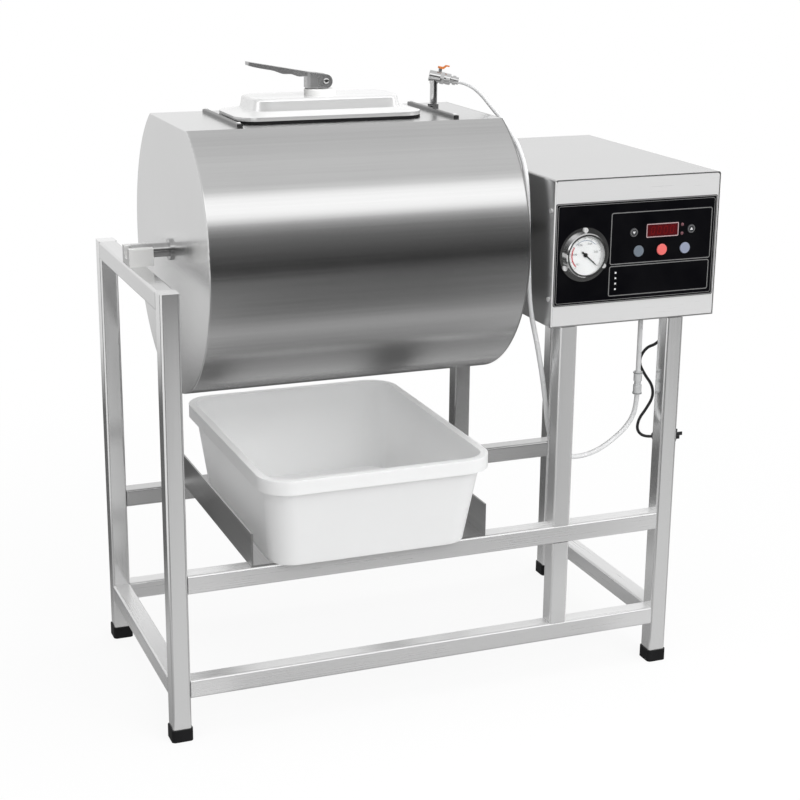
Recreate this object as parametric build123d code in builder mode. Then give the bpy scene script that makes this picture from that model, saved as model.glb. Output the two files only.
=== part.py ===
from build123d import *
import math
import os

# Sizes are in millimetres. The front faces -Y, +Z is up, and the origin lies on the floor
# under the middle of the machine's box.

# Stand of square tube
tube = 30.0
tube_wall = 2.0
tube_round = 4.0
stand_depth = 440.0
bottom_rail_top = 100.0
middle_rail_top = 272.0
left_rail_top = 708.0
post_inset = 16.0
cap_lip = 2.0
cap_height = 20.0
cap_floor = 3.0

# Tray and its two angle runners
runner_left_out = 31.0
runner_right_out = 36.0
runner_wide = 66.0
runner_tall = 55.0
runner_thick = 3.0
tray_rim_length = 376.0
tray_rim_depth = 480.0
tray_foot_length = 324.0
tray_foot_depth = 400.0
tray_offset = -4.5
tray_overhang = 60.0
tray_rim_height = 150.0
tray_wall = 3.0
tray_lip = 9.0
tray_skirt = 22.0
slide_gap = 0.3

# Control box of folded sheet
box_length = 294.0
box_setback = 4.0
box_back_overhang = 10.0
box_end_overhang = 56.0
box_below_axis = 122.0
box_height = 234.0
sheet = 2.0
sheet_gap = 0.2

# Drum
drum_start = 72.5
drum_length = 510.0
drum_radius = 226.0
drum_flat = 196.5
drum_wall = 2.0
end_plate = 3.0
drum_to_box = 43.5
bearing_rise = 20.0
stub_diameter = 22.0
drive_diameter = 25.0
running_gap = 0.05
hatch_length = 250.0
hatch_width = 100.0
hatch_round = 30.0
hatch_rim = 12.0
hatch_offset = -9.5

# Lid and clamp
lid_length = 304.0
lid_width = 140.0
lid_round = 34.0
gasket_tall = 3.5
gasket_wide = 16.0
lip_tall = 5.7
shoulder_tall = 6.0
pan_length = 248.0
pan_width = 98.0
pan_round = 30.0
pan_tall = 18.3
lid_sheet = 2.0
washer_diameter = 50.0
washer_tall = 9.0
spindle = 12.0
cam_radius = 11.0
cam_throw = 1.0
cam_width = 24.0
pin_offset = 6.0
lever_reach = 124.0
lever_rise = 26.0

# Vacuum valve on the flat
valve_from_end = 57.5
valve_off_axis = 34.0
valve_rise = 52.0
valve_reach = 41.0
valve_aim = 25.0
valve_droop = 10.6
pipe_diameter = 12.0

# Front panel, measured from the box's left wall and from its floor
overlay_length = 288.0
overlay_tall = 163.0
overlay_thick = 0.8
overlay_from_floor = 115.5
overlay_from_wall = 146.0
gauge_from_floor = 115.0
gauge_from_wall = 53.0
gauge_bezel = 70.0
gauge_flange = 86.0
gauge_body = 60.0
gauge_stand_out = 11.0
window_from_floor = 145.5
window_from_wall = 192.0
window_size = (55.0, 19.0)
arrow_spread = 52.0
arrow_drop = 1.0
key_spread = 42.0
key_drop = 31.5
arrow_diameter = 14.0
key_diameter = 18.0
button_gap = 0.3
screw_head = 7.6
screw_shank = 4.0

# Hose and cord
hose_diameter = 8.0
hose_bore = 5.0
cord_diameter = 5.0
fitting_from_wall = 191.0
fitting_from_front = 52.0
gland_from_wall = 254.0
gland_from_front = 81.0
connector_drop = 140.0
connector_tall = 38.0

# Places worked out from the sizes above
axis_height = left_rail_top + bearing_rise
box_floor = axis_height - box_below_axis
box_start = drum_start + drum_length + drum_to_box
box_depth = stand_depth - box_setback + box_back_overhang
stand_length = box_start + box_length - box_end_overhang
post_start = box_start + post_inset
box_end = box_start + box_length
drum_middle = drum_start + drum_length / 2
hatch_middle = drum_middle + hatch_offset
tray_middle = drum_middle + tray_offset
runner_starts = (
    tray_middle - tray_foot_length / 2 - runner_left_out,
    tray_middle + tray_foot_length / 2 + runner_right_out,
)
valve_start = drum_start + drum_length - valve_from_end
valve_depth = stand_depth / 2 + valve_off_axis
valve_level = math.cos(math.radians(valve_droop))
valve_way = (
    valve_level * math.cos(math.radians(valve_aim)),
    -valve_level * math.sin(math.radians(valve_aim)),
    -math.sin(math.radians(valve_droop)),
)
left = cap_lip - (cap_lip + box_end) / 2
front = tray_overhang - (tray_overhang + box_setback + box_depth) / 2
right = left + stand_length
back = front + stand_depth
axis_y = front + stand_depth / 2
flat_top = axis_height + drum_flat
valve_height = flat_top + valve_rise
valve_tip = (
    valve_start + valve_reach * valve_way[0],
    valve_depth + valve_reach * valve_way[1],
    valve_height + valve_reach * valve_way[2],
)
panel_y = front + box_setback
box_left = left + box_start
box_right = left + box_end
box_back = panel_y + box_depth
overlay_middle = (box_start + overlay_from_wall, box_floor + overlay_from_floor)
gauge_middle = (box_start + gauge_from_wall, box_floor + gauge_from_floor)
window_middle = (box_start + window_from_wall, box_floor + window_from_floor)
arrow_height = window_middle[1] - arrow_drop
key_height = window_middle[1] - key_drop
fitting_place = (box_start + fitting_from_wall, box_setback + fitting_from_front)
gland_place = (box_start + gland_from_wall, box_setback + gland_from_front)
connector_low = box_floor - connector_drop
tube_bore = tube - 2 * tube_wall
half_tube = tube / 2

os.makedirs("parts", exist_ok=True)


def save(piece, label):
    """Names a finished piece and writes it to a file of its own."""
    piece.part.label = label
    export_step(piece.part, f"parts/{label}.step")


def looking_along_x(x, y, z):
    """Plane across the machine's length: its own x runs along Y and its y runs up."""
    return Plane(origin=(x, y, z), x_dir=(0, 1, 0), z_dir=(1, 0, 0))


def looking_along_y(x, y, z):
    """Plane across the depth, seen from behind: its own x runs along X and its y runs down."""
    return Plane(origin=(x, y, z), x_dir=(1, 0, 0), z_dir=(0, 1, 0))


def facing_front(x, y, z):
    """Plane seen from the front: its own x runs along X, its y runs up, and out is -Y."""
    return Plane(origin=(x, y, z), x_dir=(1, 0, 0), z_dir=(0, -1, 0))


def square_tube(plane, length, end_wall=0.0):
    """Square tube with round corners, closed at its far end by end_wall if that is given."""
    with BuildPart() as piece:
        with BuildSketch(plane):
            RectangleRounded(tube, tube, tube_round)
        extrude(amount=length)
        with BuildSketch(plane):
            RectangleRounded(tube_bore, tube_bore, tube_round - tube_wall)
        extrude(amount=length - end_wall, mode=Mode.SUBTRACT)
    return piece


# Stand: legs, posts and rails
for side, leg_x, leg_top, closed in (
    ("left", left + half_tube, left_rail_top, tube_wall),
    ("right", right - half_tube, box_floor, 0.0),
):
    for end, leg_y in (("front", front + half_tube), ("back", back - half_tube)):
        leg_plane = Plane((leg_x, leg_y, cap_floor))
        save(square_tube(leg_plane, leg_top - cap_floor, closed), f"leg_{end}_{side}")

post_x = left + post_start + half_tube
post_long = box_floor - middle_rail_top
post_short = middle_rail_top - tube - bottom_rail_top
save(square_tube(Plane((post_x, front + half_tube, middle_rail_top)), post_long), "post_front_upper")
save(square_tube(Plane((post_x, front + half_tube, bottom_rail_top)), post_short), "post_front_lower")
save(square_tube(Plane((post_x, back - half_tube, middle_rail_top)), post_long), "post_back")

rail_length = stand_length - 2 * tube
side_length = stand_depth - 2 * tube
for level, rail_top in (("bottom", bottom_rail_top), ("middle", middle_rail_top)):
    for end, rail_y in (("front", front + half_tube), ("back", back - half_tube)):
        rail_plane = looking_along_x(left + tube, rail_y, rail_top - half_tube)
        save(square_tube(rail_plane, rail_length), f"rail_{level}_{end}")
for label, rail_x, rail_top in (
    ("rail_bottom_left", left + half_tube, bottom_rail_top),
    ("rail_bottom_right", right - half_tube, bottom_rail_top),
    ("rail_top_left", left + half_tube, left_rail_top),
):
    rail_plane = looking_along_y(rail_x, front + tube, rail_top - half_tube)
    save(square_tube(rail_plane, side_length), label)

# Rubber caps under the legs
stand_middle = Plane(((left + right) / 2, (front + back) / 2, 0))
with BuildPart() as foot_caps:
    with BuildSketch(stand_middle):
        with GridLocations(stand_length - tube, stand_depth - tube, 2, 2):
            RectangleRounded(tube + 2 * cap_lip, tube + 2 * cap_lip, tube_round + cap_lip)
    extrude(amount=cap_height)
    with BuildSketch(stand_middle.offset(cap_floor)):
        with GridLocations(stand_length - tube, stand_depth - tube, 2, 2):
            RectangleRounded(tube, tube, tube_round)
    extrude(amount=cap_height, mode=Mode.SUBTRACT)
save(foot_caps, "foot_caps")

# Angle runners that the tray slides on, their flat legs turned towards each other
runner_inset = 2.0
for label, runner_x, inward in (("runner_left", runner_starts[0], 1), ("runner_right", runner_starts[1], -1)):
    with BuildPart() as runner:
        with BuildSketch(facing_front(left + runner_x, front + runner_inset, middle_rail_top)):
            with BuildLine():
                Polyline(
                    (0, 0),
                    (inward * runner_wide, 0),
                    (inward * runner_wide, runner_thick),
                    (inward * runner_thick, runner_thick),
                    (inward * runner_thick, runner_tall),
                    (0, runner_tall),
                    close=True,
                )
            make_face()
        extrude(amount=-(stand_depth - 2 * runner_inset))
        fillet(runner.edges().filter_by(Axis.Y).sort_by(Axis.Z)[-2:], 1.0)
    save(runner, label)

# Bearing block on the left rail: a cradle that is open at the top
block_long = 38.0
block_start = 2.0
block_wide = 46.0
block_over = 8.0
groove = stub_diameter + 2 * running_gap
block_plane = looking_along_x(left + block_start, axis_y, axis_height)
with BuildPart() as bearing_block:
    with BuildSketch(block_plane):
        with Locations((0, (block_over - bearing_rise) / 2)):
            Rectangle(block_wide, bearing_rise + block_over)
        Circle(groove / 2, mode=Mode.SUBTRACT)
        with Locations((0, block_over / 2)):
            Rectangle(groove, block_over, mode=Mode.SUBTRACT)
    extrude(amount=block_long)
    fillet(bearing_block.edges().filter_by(Axis.X).group_by(Axis.Z)[-1], 1.5)
save(bearing_block, "bearing_block")

# Control box: a cover folded over the top and both sides
shaft_hole = 40.0
fold = 4.0
screw_inset = 10.0
screw_heights = (box_floor + 45.0, box_floor + 185.0)
screw_hole = screw_shank + 0.3
vent_length = 40.0
vent_tall = 4.0
vent_pitch = 9.0
vent_rows = 7
vent_middle = box_floor + 90.0
box_middle = (box_left + box_right) / 2
with BuildPart() as box_cover:
    for inset, mode in ((0.0, Mode.ADD), (sheet, Mode.SUBTRACT)):
        with BuildSketch(facing_front(box_middle, panel_y, box_floor)) as cover_outline:
            with Locations((0, (box_height - inset) / 2)):
                Rectangle(box_length - 2 * inset, box_height - inset)
            fillet(cover_outline.vertices().sort_by(Axis.Y)[-2:], fold - inset)
        extrude(amount=-box_depth, mode=mode)
    with BuildSketch(looking_along_x(box_left, axis_y, axis_height)):
        Circle(shaft_hole / 2)
    extrude(amount=sheet, mode=Mode.SUBTRACT)
    for height in screw_heights:
        with BuildSketch(looking_along_x(box_left, panel_y + screw_inset, height)):
            Circle(screw_hole / 2)
        extrude(amount=box_length, mode=Mode.SUBTRACT)
    with BuildSketch(looking_along_x(box_right - sheet, axis_y, vent_middle)):
        with GridLocations(2 * vent_length, vent_pitch, 3, vent_rows):
            SlotOverall(vent_length, vent_tall)
    extrude(amount=sheet, mode=Mode.SUBTRACT)
save(box_cover, "box_cover")

# Control box: floor and back folded from one sheet, inside the cover
inner_length = box_length - 2 * sheet - 2 * sheet_gap
fitting_hole = 12.4
gland_hole = 16.4
with BuildPart() as box_base:
    with BuildSketch(Plane((box_middle, panel_y, box_floor))):
        with Locations((0, box_depth / 2)):
            Rectangle(inner_length, box_depth)
    extrude(amount=sheet)
    with BuildSketch(facing_front(box_middle, box_back, box_floor)):
        with Locations((0, (box_height - sheet - sheet_gap) / 2)):
            Rectangle(inner_length, box_height - sheet - sheet_gap)
    extrude(amount=sheet)
    fillet(box_base.edges().filter_by(Axis.Y).group_by(Axis.Z)[-1], fold)
    for place, hole in ((fitting_place, fitting_hole), (gland_place, gland_hole)):
        with BuildSketch(Plane((left + place[0], front + place[1], box_floor))):
            Circle(hole / 2)
        extrude(amount=sheet, mode=Mode.SUBTRACT)
    with BuildSketch(facing_front(box_middle, box_back, vent_middle)):
        with GridLocations(2 * vent_length, vent_pitch, 3, vent_rows):
            SlotOverall(vent_length, vent_tall)
    extrude(amount=sheet, mode=Mode.SUBTRACT)
save(box_base, "box_base")

# Front panel: a shallow pan whose side flanges are screwed to the cover
panel_tall = box_height - 2 * sheet - 2 * sheet_gap
panel_low = box_floor + sheet + sheet_gap
panel_flange = 20.0
gauge_hole = gauge_body + 1.0
buttons = (
    ("button_down", -arrow_spread, arrow_height, arrow_diameter),
    ("button_up", arrow_spread, arrow_height, arrow_diameter),
    ("button_set", -key_spread, key_height, key_diameter),
    ("button_stop", 0.0, key_height, key_diameter),
    ("button_start", key_spread, key_height, key_diameter),
)
window_x = left + window_middle[0]
gauge_x = left + gauge_middle[0]
gauge_z = gauge_middle[1]
with BuildPart() as box_front:
    with BuildSketch(facing_front(box_middle, panel_y + sheet, panel_low)):
        with Locations((0, panel_tall / 2)):
            Rectangle(inner_length, panel_tall)
    extrude(amount=sheet)
    fillet(box_front.edges().filter_by(Axis.Y).group_by(Axis.Z)[-1], fold)
    with BuildSketch(facing_front(box_middle, panel_y + sheet, panel_low)):
        with GridLocations(inner_length - sheet, 0, 2, 1):
            with Locations((0, panel_tall / 2 - fold / 2)):
                Rectangle(sheet, panel_tall - fold)
    extrude(amount=-panel_flange)
    for height in screw_heights:
        with BuildSketch(looking_along_x(box_left, panel_y + screw_inset, height)):
            Circle(screw_shank / 2)
        extrude(amount=box_length, mode=Mode.SUBTRACT)
    with BuildSketch(facing_front(gauge_x, panel_y, gauge_z)):
        Circle(gauge_hole / 2)
    extrude(amount=-sheet, mode=Mode.SUBTRACT)
    with BuildSketch(facing_front(window_x, panel_y, window_middle[1])):
        Rectangle(*window_size)
    extrude(amount=-sheet, mode=Mode.SUBTRACT)
    for label, across, height, diameter in buttons:
        with BuildSketch(facing_front(window_x + across, panel_y, height)):
            Circle(diameter / 2 + button_gap)
        extrude(amount=-sheet, mode=Mode.SUBTRACT)
    screw_ring = facing_front(gauge_x, panel_y, gauge_z)
    gauge_screw_radius = (gauge_bezel + gauge_flange) / 4
    with BuildSketch(screw_ring):
        with PolarLocations(gauge_screw_radius, 3, start_angle=90):
            Circle(screw_shank / 2)
    extrude(amount=-sheet, mode=Mode.SUBTRACT)
save(box_front, "box_front")

# Printed overlay stuck on the front panel
overlay_y = panel_y - overlay_thick
with BuildPart() as panel_overlay:
    with BuildSketch(facing_front(left + overlay_middle[0], panel_y, overlay_middle[1])):
        RectangleRounded(overlay_length, overlay_tall, 3.0)
    extrude(amount=overlay_thick)
    with BuildSketch(facing_front(gauge_x, panel_y, gauge_z)):
        Circle(gauge_hole / 2)
        with PolarLocations(gauge_screw_radius, 3, start_angle=90):
            Circle(screw_shank / 2)
    extrude(amount=overlay_thick, mode=Mode.SUBTRACT)
    with BuildSketch(facing_front(window_x, panel_y, window_middle[1])):
        Rectangle(*window_size)
    extrude(amount=overlay_thick, mode=Mode.SUBTRACT)
    for label, across, height, diameter in buttons:
        with BuildSketch(facing_front(window_x + across, panel_y, height)):
            Circle(diameter / 2 + button_gap)
        extrude(amount=overlay_thick, mode=Mode.SUBTRACT)
save(panel_overlay, "panel_overlay")

# Red window in front of the figures
with BuildPart() as display_window:
    with BuildSketch(facing_front(window_x, panel_y + sheet, window_middle[1])):
        Rectangle(window_size[0] - 0.4, window_size[1] - 0.4)
    extrude(amount=sheet + overlay_thick)
save(display_window, "display_window")

# Control board on four pillars behind the panel
board_gap = 12.0
board_thick = 1.6
board_size = (150.0, 74.0)
board_drop = 16.5
board_middle = (window_x, window_middle[1] - board_drop)
pillar = 6.0
chip_pitch = 34.0
chip_size = (20.0, 16.0)
chip_tall = 15.0
chip_drop = 8.0
figure_inset = 5.0
figure_gap = 2.0
board_y = panel_y + sheet + board_gap
with BuildPart() as control_board:
    with BuildSketch(facing_front(board_middle[0], board_y, board_middle[1])):
        Rectangle(*board_size)
    extrude(amount=-board_thick)
    with BuildSketch(facing_front(board_middle[0], board_y, board_middle[1])):
        with GridLocations(board_size[0] - 2 * pillar, board_size[1] - 2 * pillar, 2, 2):
            Circle(pillar / 2)
    extrude(amount=board_gap)
    with BuildSketch(facing_front(window_x, board_y, window_middle[1])):
        Rectangle(window_size[0] - figure_inset, window_size[1] - figure_inset)
    extrude(amount=board_gap - figure_gap)
    with BuildSketch(facing_front(board_middle[0], board_y + board_thick, board_middle[1] - chip_drop)):
        with GridLocations(chip_pitch, 0, 4, 1):
            Rectangle(*chip_size)
    extrude(amount=-chip_tall)
save(control_board, "control_board")

# Push buttons: cap, collar behind the panel and a stem towards the board
button_proud = 1.5
collar = 2.0
collar_thick = 1.4
stem = 5.0
stem_long = 6.5
for label, across, height, diameter in buttons:
    collar_plane = facing_front(window_x + across, panel_y + sheet + button_gap, height)
    with BuildPart() as button:
        with BuildSketch(collar_plane):
            Circle(diameter / 2)
        extrude(amount=sheet + button_gap + overlay_thick + button_proud)
        fillet(button.faces().sort_by(Axis.Y)[0].edges(), 0.8)
        with BuildSketch(collar_plane):
            Circle(diameter / 2 + collar)
        extrude(amount=-collar_thick)
        with BuildSketch(collar_plane.offset(-collar_thick)):
            Circle(stem / 2)
        extrude(amount=-stem_long)
    save(button, label)

# Vacuum gauge: flanged case, dial, needle and lens
flange_thick = 2.0
case_wall = 2.0
case_deep = 30.0
case_front = gauge_stand_out
dial_thick = 1.0
dial_level = 5.0
lens_thick = 1.5
lens_level = case_front - 2.0 - lens_thick
gauge_axis = Plane(origin=(gauge_x, overlay_y, gauge_z), x_dir=(1, 0, 0), z_dir=(0, 0, 1))
bezel_lip = 2.0
with BuildPart() as gauge_case:
    with BuildSketch(gauge_axis):
        with BuildLine():
            Polyline(
                (0, case_deep),
                (gauge_body / 2, case_deep),
                (gauge_body / 2, 0),
                (gauge_flange / 2, 0),
                (gauge_flange / 2, -flange_thick),
                (gauge_bezel / 2, -flange_thick),
                (gauge_bezel / 2, -case_front + 1.5),
                (gauge_bezel / 2 - 1.5, -case_front),
                (gauge_bezel / 2 - case_wall - bezel_lip, -case_front),
                (gauge_bezel / 2 - case_wall - bezel_lip, -lens_level - lens_thick),
                (gauge_bezel / 2 - case_wall, -lens_level - lens_thick),
                (gauge_bezel / 2 - case_wall, -lens_level),
                (gauge_bezel / 2 - case_wall - 1.0, -lens_level),
                (gauge_bezel / 2 - case_wall - 1.0, -dial_level + dial_thick),
                (gauge_body / 2 - case_wall, -dial_level + dial_thick),
                (gauge_body / 2 - case_wall, case_deep - case_wall),
                (0, case_deep - case_wall),
                close=True,
            )
        make_face()
    revolve(axis=Axis((gauge_x, overlay_y, gauge_z), (0, 1, 0)))
    with BuildSketch(facing_front(gauge_x, overlay_y, gauge_z)):
        with PolarLocations(gauge_screw_radius, 3, start_angle=90):
            Circle(screw_shank / 2)
    extrude(amount=flange_thick, mode=Mode.SUBTRACT)
save(gauge_case, "gauge_case")

dial_radius = gauge_bezel / 2 - case_wall - 1.0
with BuildPart() as gauge_dial:
    with BuildSketch(facing_front(gauge_x, overlay_y - dial_level + dial_thick, gauge_z)):
        Circle(dial_radius)
    extrude(amount=dial_thick)
save(gauge_dial, "gauge_dial")

with BuildPart() as gauge_lens:
    with BuildSketch(facing_front(gauge_x, overlay_y - lens_level, gauge_z)):
        Circle(gauge_bezel / 2 - case_wall)
    extrude(amount=lens_thick)
save(gauge_lens, "gauge_lens")

needle_angle = -41.0
needle_long = 25.0
needle_tail = 8.0
needle_thick = 0.8
needle_hub = 3.5
needle_gap = 0.6
needle_aim = (math.cos(math.radians(needle_angle)), 0, math.sin(math.radians(needle_angle)))
needle_y = overlay_y - dial_level - needle_gap
needle_plane = Plane(origin=(gauge_x, needle_y, gauge_z), x_dir=needle_aim, z_dir=(0, -1, 0))
with BuildPart() as gauge_needle:
    with BuildSketch(needle_plane):
        with BuildLine():
            Polyline(
                (-needle_tail, -1.4),
                (needle_long, -0.4),
                (needle_long, 0.4),
                (-needle_tail, 1.4),
                close=True,
            )
        make_face()
        Circle(needle_hub)
    extrude(amount=needle_thick)
save(gauge_needle, "gauge_needle")

# Pan-head screws of one size: three hold the gauge, four hold the front panel
screw_tall = 2.4
screw_long = 8.0
screw_places = []
for step in range(3):
    turn = math.radians(90 + 120 * step)
    across = gauge_x + gauge_screw_radius * math.cos(turn)
    up = gauge_z + gauge_screw_radius * math.sin(turn)
    screw_places.append(facing_front(across, overlay_y - flange_thick, up))
for height in screw_heights:
    screw_places.append(looking_along_x(box_right, panel_y + screw_inset, height))
    screw_places.append(Plane((box_left, panel_y + screw_inset, height), x_dir=(0, 1, 0), z_dir=(-1, 0, 0)))
with BuildPart() as panel_screws:
    for place in screw_places:
        with BuildSketch(place):
            Circle(screw_head / 2)
        extrude(amount=screw_tall)
    for place in screw_places:
        with BuildSketch(place):
            Circle(screw_shank / 2)
        extrude(amount=-screw_long)
        with BuildSketch(place.offset(screw_tall)):
            Rectangle(screw_head * 0.62, 1.0)
            Rectangle(1.0, screw_head * 0.62)
        extrude(amount=-1.2, mode=Mode.SUBTRACT)
save(panel_screws, "panel_screws")

# Flange bearing inside the box's left wall
bearing_flange = 76.0
bearing_flange_thick = 10.0
bearing_hub = 54.0
bearing_thick = 24.0
bearing_bolt = 9.0
wall_inside = box_left + sheet
with BuildPart() as flange_bearing:
    with BuildSketch(looking_along_x(wall_inside, axis_y, axis_height)):
        RectangleRounded(bearing_flange, bearing_flange, 14.0)
        with GridLocations(bearing_flange - 20.0, bearing_flange - 20.0, 2, 2):
            Circle(bearing_bolt / 2, mode=Mode.SUBTRACT)
    extrude(amount=bearing_flange_thick)
    with BuildSketch(looking_along_x(wall_inside, axis_y, axis_height)):
        Circle(bearing_hub / 2)
    extrude(amount=bearing_thick)
    with BuildSketch(looking_along_x(wall_inside, axis_y, axis_height)):
        Circle(drive_diameter / 2 + running_gap)
    extrude(amount=bearing_thick, mode=Mode.SUBTRACT)
save(flange_bearing, "flange_bearing")

# Gear motor with a hollow output, on a foot that stands on the box floor
gear_start = wall_inside + bearing_thick + 4.0
gear_long = 70.0
gear_size = 96.0
motor_radius = 52.0
motor_long = 130.0
motor_grooves = 9
foot_size = (80.0, 120.0)
foot_thick = 8.0
foot_web = 50.0
floor_inside = box_floor + sheet
gear_middle = gear_start + gear_long / 2
with BuildPart() as gear_motor:
    with BuildSketch(looking_along_x(gear_start, axis_y, axis_height)):
        RectangleRounded(gear_size, gear_size, 12.0)
    extrude(amount=gear_long)
    with BuildSketch(looking_along_x(gear_start + gear_long, axis_y, axis_height)):
        Circle(motor_radius)
    extrude(amount=motor_long)
    groove_pitch = motor_long / (motor_grooves + 1)
    for step in range(motor_grooves):
        groove_x = gear_start + gear_long + groove_pitch * (step + 0.75)
        with BuildSketch(looking_along_x(groove_x, axis_y, axis_height)):
            Circle(motor_radius)
            Circle(motor_radius - 4.0, mode=Mode.SUBTRACT)
        extrude(amount=groove_pitch / 2, mode=Mode.SUBTRACT)
    with BuildSketch(Plane((gear_middle, axis_y, floor_inside))):
        RectangleRounded(*foot_size, 6.0)
    extrude(amount=foot_thick)
    with BuildSketch(Plane((gear_middle, axis_y, floor_inside))):
        Rectangle(foot_web, foot_web)
    extrude(amount=axis_height - gear_size / 2 - floor_inside)
    with BuildSketch(looking_along_x(gear_start, axis_y, axis_height)):
        Circle(drive_diameter / 2 + running_gap)
    extrude(amount=gear_long, mode=Mode.SUBTRACT)
save(gear_motor, "gear_motor")

# Vacuum pump on four feet, with its inlet straight above the hose fitting
pump_low = box_floor + 34.0
pump_size = (70.0, 64.0)
pump_tall = 58.0
pump_motor = 28.0
pump_motor_long = 54.0
pump_inlet = 5.0
fitting_top = box_floor + 18.0
fitting_x = left + fitting_place[0]
fitting_y = front + fitting_place[1]
pump_offset = 18.0
pump_y = fitting_y + pump_offset
with BuildPart() as vacuum_pump:
    with BuildSketch(Plane((fitting_x, pump_y, pump_low))):
        RectangleRounded(*pump_size, 8.0)
    extrude(amount=pump_tall)
    with BuildSketch(looking_along_x(fitting_x - pump_size[0] / 2, pump_y, pump_low + pump_motor)):
        Circle(pump_motor)
    extrude(amount=-pump_motor_long)
    with BuildSketch(Plane((fitting_x, fitting_y, fitting_top))):
        Circle(pump_inlet)
    extrude(amount=pump_low - fitting_top)
    with BuildSketch(Plane((fitting_x, pump_y, floor_inside))):
        with GridLocations(pump_size[0] - 16.0, pump_size[1] - 16.0, 2, 2):
            Circle(4.0)
    extrude(amount=pump_low - floor_inside)
save(vacuum_pump, "vacuum_pump")

# Hose fitting through the box floor
fitting_low = box_floor - 12.0
with BuildPart() as hose_fitting:
    with BuildSketch(Plane((fitting_x, fitting_y, fitting_low))):
        Circle(hose_diameter / 2 + 1.0)
        Circle(hose_bore / 2, mode=Mode.SUBTRACT)
    extrude(amount=fitting_top - fitting_low)
    with BuildSketch(Plane((fitting_x, fitting_y, box_floor))):
        RegularPolygon(11.0, 6)
        Circle(hose_bore / 2, mode=Mode.SUBTRACT)
    extrude(amount=-5.0)
    with BuildSketch(Plane((fitting_x, fitting_y, floor_inside))):
        RegularPolygon(10.0, 6)
        Circle(hose_bore / 2, mode=Mode.SUBTRACT)
    extrude(amount=4.0)
save(hose_fitting, "hose_fitting")

# Cable gland through the box floor, with a tapered sleeve round the cord
gland_radius = 8.0
gland_hex = 12.0
gland_hex_tall = 9.0
gland_nut_tall = 5.0
gland_inside = 14.0
sleeve_long = 24.0
sleeve_tip = 1.5
gland_low = box_floor - gland_hex_tall - sleeve_long
gland_x = left + gland_place[0]
gland_y = front + gland_place[1]
with BuildPart() as cable_gland:
    with BuildSketch(Plane((gland_x, gland_y, box_floor - gland_hex_tall))):
        Circle(gland_radius)
    extrude(amount=gland_hex_tall + gland_inside)
    with BuildSketch(Plane((gland_x, gland_y, box_floor))):
        RegularPolygon(gland_hex, 6)
    extrude(amount=-gland_hex_tall)
    with BuildSketch(Plane((gland_x, gland_y, floor_inside))):
        RegularPolygon(gland_hex, 6)
    extrude(amount=gland_nut_tall)
    with BuildSketch(Plane((gland_x, gland_y, box_floor - gland_hex_tall))):
        Circle(gland_radius)
    with BuildSketch(Plane((gland_x, gland_y, gland_low))):
        Circle(cord_diameter / 2 + sleeve_tip)
    loft()
save(cable_gland, "cable_gland")


def bend_radii(points):
    """Radius for each corner of a route, so that the bends leave a short straight between them."""
    radii = []
    for before, corner, after in zip(points, points[1:], points[2:]):
        run_in = Vector(*corner) - Vector(*before)
        run_out = Vector(*after) - Vector(*corner)
        half_turn = math.radians(run_in.get_angle(run_out)) / 2
        radii.append(0.45 * min(run_in.length, run_out.length) / math.tan(half_turn))
    return radii


def in_frame(points):
    """Moves route points from the stand's front left corner to the shared frame."""
    return [(left + x, front + y, z) for x, y, z in points]


# Vacuum hose: from the valve, down between drum and box, and up to the fitting
hose_lane = drum_start + drum_length + drum_to_box / 2
hose_route = in_frame(
    [
        valve_tip,
        tuple(tip + 16.0 * way for tip, way in zip(valve_tip, valve_way)),
        (hose_lane - 10.0, valve_tip[1] - 16.0, valve_tip[2] - 18.0),
        (hose_lane + 2.0, valve_tip[1] - 34.0, valve_tip[2] - 39.0),
        (hose_lane + 6.0, valve_tip[1] - 63.0, valve_tip[2] - 54.0),
        (hose_lane + 6.0, 138.0, valve_tip[2] - 72.0),
        (hose_lane + 5.0, 104.0, valve_tip[2] - 90.0),
        (hose_lane + 3.0, 74.0, valve_tip[2] - 119.0),
        (hose_lane + 1.0, 57.0, valve_tip[2] - 163.0),
        (hose_lane, 48.0, valve_tip[2] - 253.0),
        (hose_lane + 2.0, 42.0, valve_tip[2] - 335.0),
        (hose_lane + 18.0, 42.0, box_floor - 34.0),
        (post_start - 2.0, 46.0, connector_low + 26.0),
        (post_start + 8.0, 48.0, connector_low - 52.0),
        (post_start + 38.0, 50.0, connector_low - 96.0),
        (fitting_place[0] - 81.0, 52.0, connector_low - 96.0),
        (fitting_place[0] - 31.0, 54.0, connector_low - 68.0),
        (fitting_place[0] - 6.0, fitting_place[1], connector_low - 42.0),
        (fitting_place[0], fitting_place[1], connector_low - 14.0),
        (fitting_place[0], fitting_place[1], fitting_low),
    ]
)
hose_radii = bend_radii(hose_route)
print("hose radii", [round(radius) for radius in hose_radii])
hose_first = Vector(*hose_route[1]) - Vector(*hose_route[0])
hose_start = Plane(origin=hose_route[0], z_dir=hose_first)
with BuildPart() as vacuum_hose:
    with BuildLine() as hose_line:
        FilletPolyline(*hose_route, radius=hose_radii)
    with BuildSketch(hose_start):
        Circle(hose_diameter / 2)
        Circle(hose_bore / 2, mode=Mode.SUBTRACT)
    sweep()
hose_section = math.pi * (hose_diameter**2 - hose_bore**2) / 4
hose_length = sum(edge.length for edge in hose_line.edges())
print("hose length", round(hose_length), "by volume", round(vacuum_hose.part.volume / hose_section))
save(vacuum_hose, "vacuum_hose")

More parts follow.
